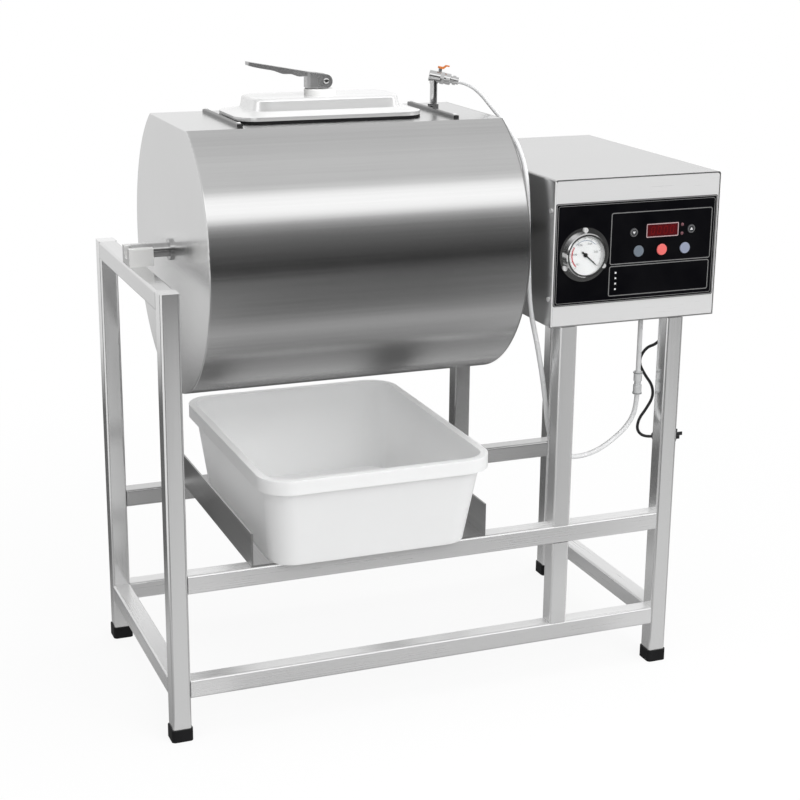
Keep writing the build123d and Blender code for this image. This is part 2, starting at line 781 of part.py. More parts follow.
# Push-in connector on the hose: two barrels with a waist between and a collar at each end
connector_waist = 5.6
connector_barrel = 7.0
connector_collar = 7.6
collar_tall = 3.0
waist_tall = 7.0
barrel_tall = (connector_tall - waist_tall) / 2
connector_middle = connector_low + connector_tall / 2
with BuildPart() as hose_connector:
    with BuildSketch(Plane((fitting_x, fitting_y, connector_low))):
        Circle(connector_waist)
    extrude(amount=connector_tall)
    for low, radius, tall in (
        (connector_low, connector_barrel, barrel_tall),
        (connector_middle + waist_tall / 2, connector_barrel, barrel_tall),
        (connector_low, connector_collar, collar_tall),
        (connector_low + connector_tall - collar_tall, connector_collar, collar_tall),
    ):
        with BuildSketch(Plane((fitting_x, fitting_y, low))):
            Circle(radius)
        extrude(amount=tall)
    with BuildSketch(Plane((fitting_x, fitting_y, connector_low))):
        Circle(hose_diameter / 2)
    extrude(amount=connector_tall, mode=Mode.SUBTRACT)
save(hose_connector, "hose_connector")

# Power cord hanging from the gland, with its plug
plug_start = gland_place[0] - 14.0
plug_height = box_floor - 227.0
plug_depth = gland_place[1] - 5.0
cord_route = in_frame(
    [
        (gland_place[0], gland_place[1], gland_low),
        (gland_place[0] - 1.0, gland_place[1], gland_low - 18.0),
        (gland_place[0] - 14.0, gland_place[1] - 1.0, gland_low - 33.0),
        (gland_place[0] - 35.0, gland_place[1] - 2.0, gland_low - 37.0),
        (gland_place[0] - 49.0, gland_place[1] - 3.0, gland_low - 59.0),
        (gland_place[0] - 35.0, gland_place[1] - 3.0, gland_low - 84.0),
        (gland_place[0] - 20.0, gland_place[1] - 4.0, gland_low - 103.0),
        (gland_place[0] - 17.0, gland_place[1] - 4.0, gland_low - 124.0),
        (gland_place[0] - 30.0, plug_depth, plug_height + 50.0),
        (gland_place[0] - 44.0, plug_depth, plug_height + 33.0),
        (gland_place[0] - 46.0, plug_depth, plug_height + 13.0),
        (gland_place[0] - 30.0, plug_depth, plug_height),
        (plug_start, plug_depth, plug_height),
    ]
)
cord_radii = bend_radii(cord_route)
print("cord radii", [round(radius) for radius in cord_radii])
with BuildPart() as power_cord:
    with BuildLine() as cord_line:
        FilletPolyline(*cord_route, radius=cord_radii)
    with BuildSketch(Plane(cord_route[0], z_dir=(0, 0, -1))):
        Circle(cord_diameter / 2)
    sweep()
cord_section = math.pi * cord_diameter**2 / 4
cord_length = sum(edge.length for edge in cord_line.edges())
print("cord length", round(cord_length), "by volume", round(power_cord.part.volume / cord_section))
save(power_cord, "power_cord")

plug_plane = looking_along_x(left + plug_start, front + plug_depth, plug_height)
with BuildPart() as power_plug:
    with BuildSketch(plug_plane):
        Circle(6.0)
    with BuildSketch(plug_plane.offset(16.0)):
        RectangleRounded(34.0, 24.0, 8.0)
    loft()
    with BuildSketch(plug_plane.offset(16.0)):
        RectangleRounded(34.0, 24.0, 8.0)
    extrude(amount=20.0)
    with BuildSketch(plug_plane.offset(36.0)):
        with Locations((-8.0, 2.0), (8.0, 2.0), (0.0, -7.0)):
            Rectangle(1.6, 6.0)
    extrude(amount=16.0)
save(power_plug, "power_plug")

# Drum shell: a round tube with its top cut off flat, open at both ends
drum_left = left + drum_start
drum_right = drum_left + drum_length
hatch_plane = Plane((left + hatch_middle, axis_y, flat_top))
valve_x = left + valve_start
valve_y = front + valve_depth
valve_port = 8.0
with BuildPart() as drum_shell:
    for inset, mode in ((0.0, Mode.ADD), (drum_wall, Mode.SUBTRACT)):
        radius = drum_radius - inset
        with BuildSketch(looking_along_x(drum_left + end_plate, axis_y, axis_height)):
            Circle(radius)
            with Locations((0, drum_flat - inset + radius)):
                Rectangle(2 * radius, 2 * radius, mode=Mode.SUBTRACT)
        extrude(amount=drum_length - 2 * end_plate, mode=mode)
    with BuildSketch(hatch_plane.offset(-drum_wall)):
        RectangleRounded(hatch_length + 2 * drum_wall, hatch_width + 2 * drum_wall, hatch_round + drum_wall)
    extrude(amount=-hatch_rim)
    with BuildSketch(hatch_plane):
        RectangleRounded(hatch_length, hatch_width, hatch_round)
    extrude(amount=-drum_wall - hatch_rim, mode=Mode.SUBTRACT)
    with BuildSketch(Plane((valve_x, valve_y, flat_top))):
        Circle(valve_port / 2)
    extrude(amount=-drum_wall, mode=Mode.SUBTRACT)
save(drum_shell, "drum_shell")

# Drum ends: plates of the same outline with a rounded outer edge
for label, end_x, outer in (
    ("drum_end_left", drum_left, 0),
    ("drum_end_right", drum_right - end_plate, -1),
):
    with BuildPart() as drum_end:
        with BuildSketch(looking_along_x(end_x, axis_y, axis_height)):
            Circle(drum_radius)
            with Locations((0, drum_flat + drum_radius)):
                Rectangle(2 * drum_radius, 2 * drum_radius, mode=Mode.SUBTRACT)
        extrude(amount=end_plate)
        fillet(drum_end.faces().sort_by(Axis.X)[outer].edges(), 1.5)
    save(drum_end, label)

# Three fins inside the drum that lift the meat, shaped to the round wall
fin_tall = 45.0
fin_thick = 4.0
fin_first = 195.0
fin_spread = 150.0
fin_long = drum_length - 2 * end_plate - 2.0
fin_plane = looking_along_x(drum_left + end_plate + 1.0, axis_y, axis_height)
inner_radius = drum_radius - drum_wall
with BuildPart() as drum_fins:
    with BuildSketch(fin_plane):
        with PolarLocations(inner_radius - fin_tall / 2, 3, fin_first, fin_spread, endpoint=True):
            Rectangle(fin_tall, fin_thick)
    extrude(amount=fin_long)
    with BuildSketch(fin_plane):
        Circle(inner_radius)
    extrude(amount=fin_long, mode=Mode.INTERSECT)
save(drum_fins, "drum_fins")

# Shafts welded to the ends by round flanges
shaft_flange = 34.0
shaft_flange_thick = 4.0
stub_end = left + block_start + 8.0
with BuildPart() as stub_shaft:
    with BuildSketch(looking_along_x(drum_left, axis_y, axis_height)):
        Circle(shaft_flange / 2)
    extrude(amount=-shaft_flange_thick)
    with BuildSketch(looking_along_x(stub_end, axis_y, axis_height)):
        Circle(stub_diameter / 2)
    extrude(amount=drum_left - stub_end)
    chamfer(stub_shaft.faces().sort_by(Axis.X)[0].edges(), 1.0)
save(stub_shaft, "stub_shaft")

with BuildPart() as drive_shaft:
    with BuildSketch(looking_along_x(drum_right, axis_y, axis_height)):
        Circle(shaft_flange / 2)
    extrude(amount=shaft_flange_thick)
    with BuildSketch(looking_along_x(drum_right, axis_y, axis_height)):
        Circle(drive_diameter / 2)
    extrude(amount=gear_start + gear_long - 4.0 - drum_right)
    chamfer(drive_shaft.faces().sort_by(Axis.X)[-1].edges(), 1.0)
save(drive_shaft, "drive_shaft")

# Two stop bars across the flat, with a screw at each end
stop_left_gap = 7.0
stop_right_gap = 39.0
stop_places = (
    hatch_middle - lid_length / 2 - stop_left_gap,
    hatch_middle + lid_length / 2 + stop_right_gap,
)
stop_wide = 9.0
stop_tall = 5.0
stop_long = 194.0
stop_screw_spread = stop_long - 14.0
stop_middle = Plane((left + sum(stop_places) / 2, axis_y, flat_top))
with BuildPart() as lid_stops:
    with BuildSketch(stop_middle):
        with GridLocations(stop_places[1] - stop_places[0], 0, 2, 1):
            Rectangle(stop_wide, stop_long)
    extrude(amount=stop_tall)
    fillet(lid_stops.edges().filter_by(Axis.Y).group_by(Axis.Z)[-1], 1.5)
save(lid_stops, "lid_stops")

with BuildPart() as stop_screws:
    with BuildSketch(stop_middle.offset(stop_tall)):
        with GridLocations(stop_places[1] - stop_places[0], stop_screw_spread, 2, 2):
            Circle(3.0)
    extrude(amount=2.0)
    fillet(stop_screws.faces().group_by(Axis.Z)[-1].edges(), 0.8)
save(stop_screws, "stop_screws")

# Vacuum pipe on the flat
pipe_collar = 20.0
collar_rise = 8.0
valve_radius = 9.0
boss_drop = valve_radius + 2.5
pipe_top = valve_height - boss_drop
with BuildPart() as valve_pipe:
    with BuildSketch(Plane((valve_x, valve_y, flat_top))):
        Circle(pipe_diameter / 2)
    extrude(amount=pipe_top - flat_top)
    with BuildSketch(Plane((valve_x, valve_y, flat_top))):
        RegularPolygon(pipe_collar / 2, 6)
    extrude(amount=collar_rise)
    with BuildSketch(Plane((valve_x, valve_y, flat_top))):
        Circle(valve_port / 2)
    extrude(amount=pipe_top - flat_top, mode=Mode.SUBTRACT)
save(valve_pipe, "valve_pipe")


def across_valve(distance):
    """Plane across the valve's own axis, at a distance from its pipe towards the hose."""
    pipe = (valve_x, valve_y, valve_height)
    place = tuple(start + distance * way for start, way in zip(pipe, valve_way))
    return Plane(origin=place, x_dir=(-valve_way[1], valve_way[0], 0), z_dir=valve_way)


# Valve: a round body with two hexagons, a collar and a spigot for the hose
valve_back = 8.0
stem_out = 8.0
stem_radius = 3.2
neck_tall = valve_radius + 5.0
spigot_start = 28.0
stem_plane = Plane(origin=across_valve(stem_out).origin, x_dir=valve_way, z_dir=across_valve(0.0).y_dir)
with BuildPart() as valve_body:
    with BuildSketch(across_valve(-valve_back)):
        Circle(valve_radius)
    extrude(amount=valve_back + spigot_start)
    fillet(valve_body.edges().filter_by(GeomType.CIRCLE), 1.5)
    for start, radius, tall in ((11.0, 11.0, 6.0), (20.0, 10.0, 7.0)):
        with BuildSketch(across_valve(start)):
            RegularPolygon(radius, 6)
        extrude(amount=tall)
    with BuildSketch(across_valve(0.0)):
        Circle(6.0)
    extrude(amount=valve_reach - slide_gap)
    with BuildSketch(across_valve(31.0)):
        Circle(7.6)
    extrude(amount=5.0)
    with BuildSketch(Plane((valve_x, valve_y, valve_height))):
        Circle(pipe_diameter / 2 + 1.0)
    extrude(amount=-boss_drop)
    with BuildSketch(stem_plane):
        Circle(stem_radius)
    extrude(amount=neck_tall)
save(valve_body, "valve_body")

# Valve handle: a round hub and an arm that steps up to its tip
handle_hub = 4.5
handle_long = 14.0
handle_wide = 6.0
handle_thick = 3.0
handle_step = 5.0
handle_plane = stem_plane.offset(neck_tall + slide_gap)
handle_side = Plane(origin=handle_plane.origin, x_dir=valve_way, z_dir=(valve_way[1], -valve_way[0], 0))
with BuildPart() as valve_handle:
    with BuildSketch(handle_plane):
        Circle(handle_hub)
    extrude(amount=handle_thick)
    with BuildSketch(handle_side):
        with BuildLine():
            Polyline(
                (0, 0),
                (handle_hub + 1.0, 0),
                (handle_hub + handle_step, handle_step),
                (handle_long, handle_step),
                (handle_long, handle_step + handle_thick - 1.0),
                (handle_hub + handle_step - 2.0, handle_step + handle_thick - 1.0),
                (handle_hub - 1.0, handle_thick),
                (0, handle_thick),
                close=True,
            )
        make_face()
    extrude(amount=handle_wide / 2, both=True)
    fillet(valve_handle.faces().filter_by(Axis((0, 0, 0), valve_way)).edges(), 0.6)
save(valve_handle, "valve_handle")

# Hatch lid: pressed sheet with a turned-down lip, a sloping shoulder and a raised pan
gasket_low = flat_top + slide_gap
lid_low = gasket_low + gasket_tall
lid_plane = Plane((left + hatch_middle, axis_y, lid_low))
pan_foot = lip_tall + shoulder_tall
pan_top = lid_low + pan_foot + pan_tall
pan_draft = 12.0
spindle_hole = spindle / 2 + 0.2
with BuildPart() as hatch_lid:
    for inset, mode in ((0.0, Mode.ADD), (lid_sheet, Mode.SUBTRACT)):
        outer = (lid_length - 2 * inset, lid_width - 2 * inset, lid_round - inset)
        inner = (pan_length - 2 * inset, pan_width - 2 * inset, pan_round - inset)
        with BuildSketch(lid_plane):
            RectangleRounded(*outer)
        extrude(amount=lip_tall - inset, mode=mode)
        with BuildSketch(lid_plane.offset(lip_tall - inset)):
            RectangleRounded(*outer)
        with BuildSketch(lid_plane.offset(pan_foot - inset)):
            RectangleRounded(*inner)
        loft(mode=mode)
        with BuildSketch(lid_plane.offset(pan_foot - inset)):
            RectangleRounded(*inner)
        extrude(amount=pan_tall, taper=pan_draft, mode=mode)
        if mode == Mode.ADD:
            fillet(hatch_lid.faces().sort_by(Axis.Z)[-1].edges(), 5.0)
    with BuildSketch(lid_plane):
        Circle(spindle_hole)
    extrude(amount=pan_foot + pan_tall, mode=Mode.SUBTRACT)
save(hatch_lid, "hatch_lid")

with BuildPart() as lid_gasket:
    with BuildSketch(lid_plane):
        RectangleRounded(lid_length, lid_width, lid_round)
        RectangleRounded(
            lid_length - 2 * gasket_wide,
            lid_width - 2 * gasket_wide,
            lid_round - gasket_wide,
            mode=Mode.SUBTRACT,
        )
    extrude(amount=-gasket_tall)
save(lid_gasket, "lid_gasket")

with BuildPart() as thrust_washer:
    with BuildSketch(Plane((left + hatch_middle, axis_y, pan_top))):
        Circle(washer_diameter / 2)
        Circle(spindle_hole, mode=Mode.SUBTRACT)
    extrude(amount=washer_tall)
    fillet(thrust_washer.faces().sort_by(Axis.Z)[-1].outer_wire().edges(), 2.5)
save(thrust_washer, "thrust_washer")

# Clamp spindle: an eye at the top for the lever's pin and a bar inside the drum
pin_diameter = 6.0
eye_thick = 8.0
pin_height = pan_top + washer_tall + slide_gap + cam_radius + cam_throw
bar_size = (200.0, 24.0)
bar_thick = 12.0
bar_top = flat_top - drum_wall - hatch_rim - 6.0
spindle_x = left + hatch_middle
pin_x = spindle_x + pin_offset
with BuildPart() as clamp_spindle:
    with BuildSketch(Plane((spindle_x, axis_y, bar_top - bar_thick))):
        SlotOverall(*bar_size)
    extrude(amount=bar_thick)
    with BuildSketch(Plane((spindle_x, axis_y, bar_top))):
        Circle(spindle / 2)
    extrude(amount=pan_top + washer_tall - bar_top - 1.0)
    with BuildSketch(facing_front(spindle_x, axis_y + eye_thick / 2, pin_height)):
        with Locations((pin_offset, 0)):
            Circle(7.0)
        with Locations((0, -10.0)):
            Rectangle(8.0, 20.0)
    extrude(amount=eye_thick)
    with BuildSketch(facing_front(pin_x, axis_y + spindle, pin_height)):
        Circle(pin_diameter / 2 + running_gap)
    extrude(amount=2 * spindle, mode=Mode.SUBTRACT)
save(clamp_spindle, "clamp_spindle")

# Cam lever: a forked head with a round cam on a pin, and an arm with a wavy underside
head_long = 30.0
head_low = 11.0
head_high = 14.5
head_round = 6.0
head_fork = 15.0
arm_wide = 18.0
tip_thick = 5.5
fork_gap = 0.5
underside = (
    (0.19, 0.27),
    (0.27, 0.29),
    (0.36, 0.3),
    (0.43, 0.42),
    (0.56, 0.47),
    (0.63, 0.59),
    (0.79, 0.77),
    (1.0, 1.0),
)
arm_line = [(-along * lever_reach, up * lever_rise) for along, up in underside]
with BuildPart() as cam_lever:
    with BuildSketch(facing_front(pin_x, axis_y + cam_width / 2, pin_height)):
        with Locations((0, -cam_throw)):
            Circle(cam_radius)
        with BuildLine():
            Polyline(
                (0, cam_radius - cam_throw),
                (-head_long, head_high),
                (-head_long, -head_low),
                (0, -head_low),
                close=True,
            )
        make_face()
    extrude(amount=cam_width)
    fillet(cam_lever.edges().filter_by(Axis.Z).sort_by(Axis.X)[:2], head_round)
    with BuildSketch(facing_front(pin_x, axis_y + arm_wide / 2, pin_height)):
        with BuildLine():
            Spline(*arm_line)
            Polyline(
                arm_line[-1],
                (-lever_reach, lever_rise + tip_thick),
                (arm_line[0][0], head_high - 1.0),
                arm_line[0],
            )
        make_face()
    extrude(amount=arm_wide)
    with BuildSketch(facing_front(pin_x, axis_y + eye_thick / 2 + fork_gap, pin_height)):
        Rectangle(2 * head_fork, 60.0)
    extrude(amount=eye_thick + 2 * fork_gap, mode=Mode.SUBTRACT)
    with BuildSketch(facing_front(pin_x, axis_y + cam_width / 2 + 1.0, pin_height)):
        Circle(pin_diameter / 2)
    extrude(amount=cam_width + 2.0)
save(cam_lever, "cam_lever")

# Drain tray: a tub with leaning walls and a rim turned down
tray_low = middle_rail_top + runner_thick + slide_gap
tray_y = front - tray_overhang + tray_rim_depth / 2
tray_plane = Plane((left + tray_middle, tray_y, tray_low))
tray_top = tray_plane.offset(tray_rim_height)
tray_round = 40.0
rim_inside = (tray_rim_length - 2 * tray_lip, tray_rim_depth - 2 * tray_lip)
skirt_inside = (tray_rim_length - 2 * tray_wall, tray_rim_depth - 2 * tray_wall)
foot_inside = (tray_foot_length - 2 * tray_wall, tray_foot_depth - 2 * tray_wall)
with BuildPart() as drain_tray:
    with BuildSketch(tray_plane):
        RectangleRounded(tray_foot_length, tray_foot_depth, tray_round)
    with BuildSketch(tray_top):
        RectangleRounded(*rim_inside, tray_round)
    loft()
    with BuildSketch(tray_top):
        RectangleRounded(tray_rim_length, tray_rim_depth, tray_round + tray_lip)
    extrude(amount=-tray_skirt)
    with BuildSketch(tray_top.offset(-tray_wall)):
        RectangleRounded(*skirt_inside, tray_round + tray_lip - tray_wall)
        RectangleRounded(*rim_inside, tray_round, mode=Mode.SUBTRACT)
    extrude(amount=-tray_skirt + tray_wall, mode=Mode.SUBTRACT)
    with BuildSketch(tray_plane.offset(tray_wall)):
        RectangleRounded(*foot_inside, tray_round - tray_wall)
    with BuildSketch(tray_top):
        RectangleRounded(rim_inside[0] - 2 * tray_wall, rim_inside[1] - 2 * tray_wall, tray_round - tray_wall)
    loft(mode=Mode.SUBTRACT)
save(drain_tray, "drain_tray")
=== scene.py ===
import math

import bpy
import numpy as np
from mathutils import Matrix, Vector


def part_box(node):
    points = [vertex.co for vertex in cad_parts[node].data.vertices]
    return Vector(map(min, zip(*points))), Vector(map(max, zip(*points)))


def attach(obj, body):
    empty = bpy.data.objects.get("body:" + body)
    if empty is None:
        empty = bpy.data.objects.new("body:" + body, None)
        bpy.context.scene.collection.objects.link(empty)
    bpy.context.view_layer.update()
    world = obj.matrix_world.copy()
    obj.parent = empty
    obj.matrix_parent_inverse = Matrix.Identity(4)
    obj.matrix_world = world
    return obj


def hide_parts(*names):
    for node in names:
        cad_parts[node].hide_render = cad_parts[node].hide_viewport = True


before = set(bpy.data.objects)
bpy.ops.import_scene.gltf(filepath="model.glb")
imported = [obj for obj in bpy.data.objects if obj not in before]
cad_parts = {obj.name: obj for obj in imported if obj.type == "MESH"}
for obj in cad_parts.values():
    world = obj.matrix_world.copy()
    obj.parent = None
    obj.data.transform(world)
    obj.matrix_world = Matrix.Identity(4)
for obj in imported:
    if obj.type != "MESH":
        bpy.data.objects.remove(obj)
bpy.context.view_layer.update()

# Places on the machine and how far its print stands proud, in metres in the shared frame
PANEL_FACE = -0.1918
DIAL_FACE = -0.1968
GAUGE = (0.220, 0.721)
WINDOW = (0.359, 0.7515)
KEY_FACE = -0.1933
KEY_ROW = 0.720
ARROW_ROW = 0.7505
OVERLAY = (0.313, 0.7215)
LEVER_PIN = (-0.135, 0.9796)
LEVER_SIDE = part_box("cam_lever")[0][1]
PRINT = 0.0001
DIAL_PRINT = 0.00006
FIGURE_PRINT = 0.00008
ARROW_ACROSS = 0.052
KEY_ACROSS = 0.042

# The photograph's viewpoint: place in metres, turns in degrees, lens and sensor in millimetres
CAMERA_PLACE = (-1.01577, -2.52073, 1.26126)
CAMERA_YAW = -21.73257
CAMERA_PITCH = -16.59021
CAMERA_ROLL = 0.56822
CAMERA_LENS = 76.647
CAMERA_SENSOR = 36.0


# Camera at the photograph's viewpoint

def look_from_front_left():
    """Camera whose turn is yaw about Z, then the upright pitch about X, then a slight roll."""
    lens = bpy.data.cameras.new("camera")
    lens.lens = CAMERA_LENS
    lens.sensor_width = CAMERA_SENSOR
    lens.clip_end = 60.0
    camera = bpy.data.objects.new("camera", lens)
    bpy.context.scene.collection.objects.link(camera)
    turn = (
        Matrix.Rotation(math.radians(CAMERA_YAW), 4, "Z")
        @ Matrix.Rotation(math.radians(90 + CAMERA_PITCH), 4, "X")
        @ Matrix.Rotation(math.radians(CAMERA_ROLL), 4, "Z")
    )
    camera.matrix_world = Matrix.Translation(CAMERA_PLACE) @ turn
    bpy.context.scene.camera = camera


# Node helpers

def add(tree, kind, **settings):
    """Adds a node and sets the properties that are given."""
    made = tree.nodes.new(kind)
    for key, value in settings.items():
        setattr(made, key, value)
    return made


def group_shell(name, inputs, outputs):
    """Empty shader node group with named sockets: returns its tree and its two end nodes."""
    tree = bpy.data.node_groups.new(name, "ShaderNodeTree")
    for label, kind in inputs:
        tree.interface.new_socket(name=label, in_out="INPUT", socket_type=kind)
    for label, kind in outputs:
        tree.interface.new_socket(name=label, in_out="OUTPUT", socket_type=kind)
    return tree, add(tree, "NodeGroupInput"), add(tree, "NodeGroupOutput")


def brushed_grain_group():
    """Long fine scratches and soft smudges: noise stretched along the grain, over slow noise."""
    tree, given, out = group_shell(
        "brushed_grain",
        [
            ("Vector", "NodeSocketVector"),
            ("Stretch", "NodeSocketVector"),
            ("Dark", "NodeSocketColor"),
            ("Light", "NodeSocketColor"),
            ("Rough Low", "NodeSocketFloat"),
            ("Rough High", "NodeSocketFloat"),
        ],
        [("Color", "NodeSocketColor"), ("Roughness", "NodeSocketFloat"), ("Height", "NodeSocketFloat")],
    )
    link = tree.links.new
    drawn = add(tree, "ShaderNodeVectorMath", operation="MULTIPLY")
    link(given.outputs["Vector"], drawn.inputs[0])
    link(given.outputs["Stretch"], drawn.inputs[1])
    scratches = add(tree, "ShaderNodeTexNoise")
    scratches.inputs["Scale"].default_value = 1.0
    scratches.inputs["Detail"].default_value = 5.0
    scratches.inputs["Roughness"].default_value = 0.68
    link(drawn.outputs[0], scratches.inputs["Vector"])
    smudges = add(tree, "ShaderNodeTexNoise")
    smudges.inputs["Scale"].default_value = 7.0
    smudges.inputs["Detail"].default_value = 3.0
    link(given.outputs["Vector"], smudges.inputs["Vector"])
    both = add(tree, "ShaderNodeMix", data_type="FLOAT")
    both.inputs["Factor"].default_value = 0.3
    link(scratches.outputs["Fac"], both.inputs["A"])
    link(smudges.outputs["Fac"], both.inputs["B"])
    spread = add(tree, "ShaderNodeMapRange")
    spread.inputs["From Min"].default_value = 0.32
    spread.inputs["From Max"].default_value = 0.68
    link(both.outputs["Result"], spread.inputs["Value"])
    tone = add(tree, "ShaderNodeMix", data_type="RGBA")
    link(spread.outputs["Result"], tone.inputs["Factor"])
    link(given.outputs["Dark"], tone.inputs["A"])
    link(given.outputs["Light"], tone.inputs["B"])
    rough = add(tree, "ShaderNodeMapRange")
    link(spread.outputs["Result"], rough.inputs["Value"])
    link(given.outputs["Rough Low"], rough.inputs["To Min"])
    link(given.outputs["Rough High"], rough.inputs["To Max"])
    link(tone.outputs["Result"], out.inputs["Color"])
    link(rough.outputs["Result"], out.inputs["Roughness"])
    link(scratches.outputs["Fac"], out.inputs["Height"])
    return tree


def moulded_skin_group():
    """Fine pebbled skin of moulded plastic, rubber or casting: cells under cloudy tone changes."""
    tree, given, out = group_shell(
        "moulded_skin",
        [
            ("Vector", "NodeSocketVector"),
            ("Grain", "NodeSocketFloat"),
            ("Dark", "NodeSocketColor"),
            ("Light", "NodeSocketColor"),
            ("Rough Low", "NodeSocketFloat"),
            ("Rough High", "NodeSocketFloat"),
        ],
        [("Color", "NodeSocketColor"), ("Roughness", "NodeSocketFloat"), ("Height", "NodeSocketFloat")],
    )
    link = tree.links.new
    pebbles = add(tree, "ShaderNodeTexVoronoi")
    link(given.outputs["Vector"], pebbles.inputs["Vector"])
    link(given.outputs["Grain"], pebbles.inputs["Scale"])
    clouds = add(tree, "ShaderNodeTexNoise")
    clouds.inputs["Scale"].default_value = 18.0
    clouds.inputs["Detail"].default_value = 4.0
    link(given.outputs["Vector"], clouds.inputs["Vector"])
    spread = add(tree, "ShaderNodeMapRange")
    spread.inputs["From Min"].default_value = 0.3
    spread.inputs["From Max"].default_value = 0.7
    link(clouds.outputs["Fac"], spread.inputs["Value"])
    tone = add(tree, "ShaderNodeMix", data_type="RGBA")
    link(spread.outputs["Result"], tone.inputs["Factor"])
    link(given.outputs["Dark"], tone.inputs["A"])
    link(given.outputs["Light"], tone.inputs["B"])
    rough = add(tree, "ShaderNodeMapRange")
    link(spread.outputs["Result"], rough.inputs["Value"])
    link(given.outputs["Rough Low"], rough.inputs["To Min"])
    link(given.outputs["Rough High"], rough.inputs["To Max"])
    link(tone.outputs["Result"], out.inputs["Color"])
    link(rough.outputs["Result"], out.inputs["Roughness"])
    link(pebbles.outputs["Distance"], out.inputs["Height"])
    return tree


def rubbed_edge_group():
    """Mask of sharp edges: how far the rounded-over normal leans away from the true one."""
    tree, given, out = group_shell(
        "rubbed_edge", [("Reach", "NodeSocketFloat")], [("Mask", "NodeSocketFloat")]
    )
    link = tree.links.new
    rounded = add(tree, "ShaderNodeBevel", samples=6)
    link(given.outputs["Reach"], rounded.inputs["Radius"])
    true = add(tree, "ShaderNodeNewGeometry")
    lean = add(tree, "ShaderNodeVectorMath", operation="DOT_PRODUCT")
    link(rounded.outputs["Normal"], lean.inputs[0])
    link(true.outputs["Normal"], lean.inputs[1])
    mask = add(tree, "ShaderNodeMapRange")
    mask.inputs["From Min"].default_value = 0.99
    mask.inputs["From Max"].default_value = 0.80
    link(lean.outputs["Value"], mask.inputs["Value"])
    link(mask.outputs["Result"], out.inputs["Mask"])
    return tree


BRUSHED = brushed_grain_group()
MOULDED = moulded_skin_group()
RUBBED = rubbed_edge_group()


def grey(value):
    """Neutral colour of one linear value."""
    return (value, value, value, 1.0)


def new_material(name):
    """Material with a Principled shader, and that shader and its tree to work on."""
    material = bpy.data.materials.new(name)
    material.use_nodes = True
    return material, material.node_tree, material.node_tree.nodes["Principled BSDF"]


def textured(tree, shader, group, settings, bump, distance):
    """Places a shared group on Object coordinates and feeds the shader's colour, gloss and normal."""
    place = add(tree, "ShaderNodeTexCoord")
    effect = add(tree, "ShaderNodeGroup", node_tree=group)
    for label, value in settings.items():
        effect.inputs[label].default_value = value
    link = tree.links.new
    link(place.outputs["Object"], effect.inputs["Vector"])
    link(effect.outputs["Color"], shader.inputs["Base Color"])
    link(effect.outputs["Roughness"], shader.inputs["Roughness"])
    relief = add(tree, "ShaderNodeBump")
    relief.inputs["Strength"].default_value = bump
    relief.inputs["Distance"].default_value = distance
    link(effect.outputs["Height"], relief.inputs["Height"])
    link(relief.outputs["Normal"], shader.inputs["Normal"])
    return effect


def steel(name, stretch, dark, light, rough, metallic=1.0, bump=0.04, smear=0.0):
    """Brushed or polished stainless steel, with its grain drawn out by the stretch.

    A smear above 0 draws the gloss out along X, as long fine brush lines do on the drum.
    """
    material, tree, shader = new_material(name)
    shader.inputs["Metallic"].default_value = metallic
    if smear:
        shader.inputs["Anisotropic"].default_value = smear
        along = add(tree, "ShaderNodeCombineXYZ")
        along.inputs["X"].default_value = 1.0
        tree.links.new(along.outputs[0], shader.inputs["Tangent"])
    settings = {
        "Stretch": stretch,
        "Dark": grey(dark),
        "Light": grey(light),
        "Rough Low": rough[0],
        "Rough High": rough[1],
    }
    textured(tree, shader, BRUSHED, settings, bump, 0.0004)
    return material


def moulded(
    name, dark, light, rough, grain, bump, rub=None, soft=0.0, metallic=0.0, gloss=0.5, glow=0.0
):
    """Moulded plastic, rubber, paint or casting, with its edges rubbed lighter where rub is given.

    Soft lets light wander in milky plastic, and glow is painted light: an even emission that stands for
    what comes through its thin walls.
    """
    material, tree, shader = new_material(name)
    shader.inputs["Metallic"].default_value = metallic
    shader.inputs["Specular IOR Level"].default_value = gloss
    shader.inputs["Subsurface Weight"].default_value = soft
    shader.inputs["Subsurface Radius"].default_value = (1.0, 1.0, 1.0)
    shader.inputs["Subsurface Scale"].default_value = 0.03
    shader.inputs["Emission Color"].default_value = (1.0, 1.0, 1.0, 1.0)
    shader.inputs["Emission Strength"].default_value = glow
    settings = {
        "Grain": grain,
        "Dark": (*dark, 1.0),
        "Light": (*light, 1.0),
        "Rough Low": rough[0],
        "Rough High": rough[1],
    }
    effect = textured(tree, shader, MOULDED, settings, bump, 0.0002)
    if rub:
        edges = add(tree, "ShaderNodeGroup", node_tree=RUBBED)
        edges.inputs["Reach"].default_value = 0.0012
        worn = add(tree, "ShaderNodeMix", data_type="RGBA")
        worn.inputs["B"].default_value = (*rub, 1.0)
        tree.links.new(edges.outputs["Mask"], worn.inputs["Factor"])
        tree.links.new(effect.outputs["Color"], worn.inputs["A"])
        tree.links.new(worn.outputs["Result"], shader.inputs["Base Color"])
    return material


def clear(name, tint, rough, weight, body=1.0):
    """Clear plastic or glass: mostly let through, with a faint cloudiness in its gloss."""
    material, tree, shader = new_material(name)
    shader.inputs["Transmission Weight"].default_value = weight
    shader.inputs["IOR"].default_value = 1.45
    shader.inputs["Alpha"].default_value = body
    settings = {
        "Grain": 300.0,
        "Dark": (*(0.94 * c for c in tint), 1.0),
        "Light": (*tint, 1.0),
        "Rough Low": rough[0],
        "Rough High": rough[1],
    }
    textured(tree, shader, MOULDED, settings, 0.003, 0.0001)
    return material


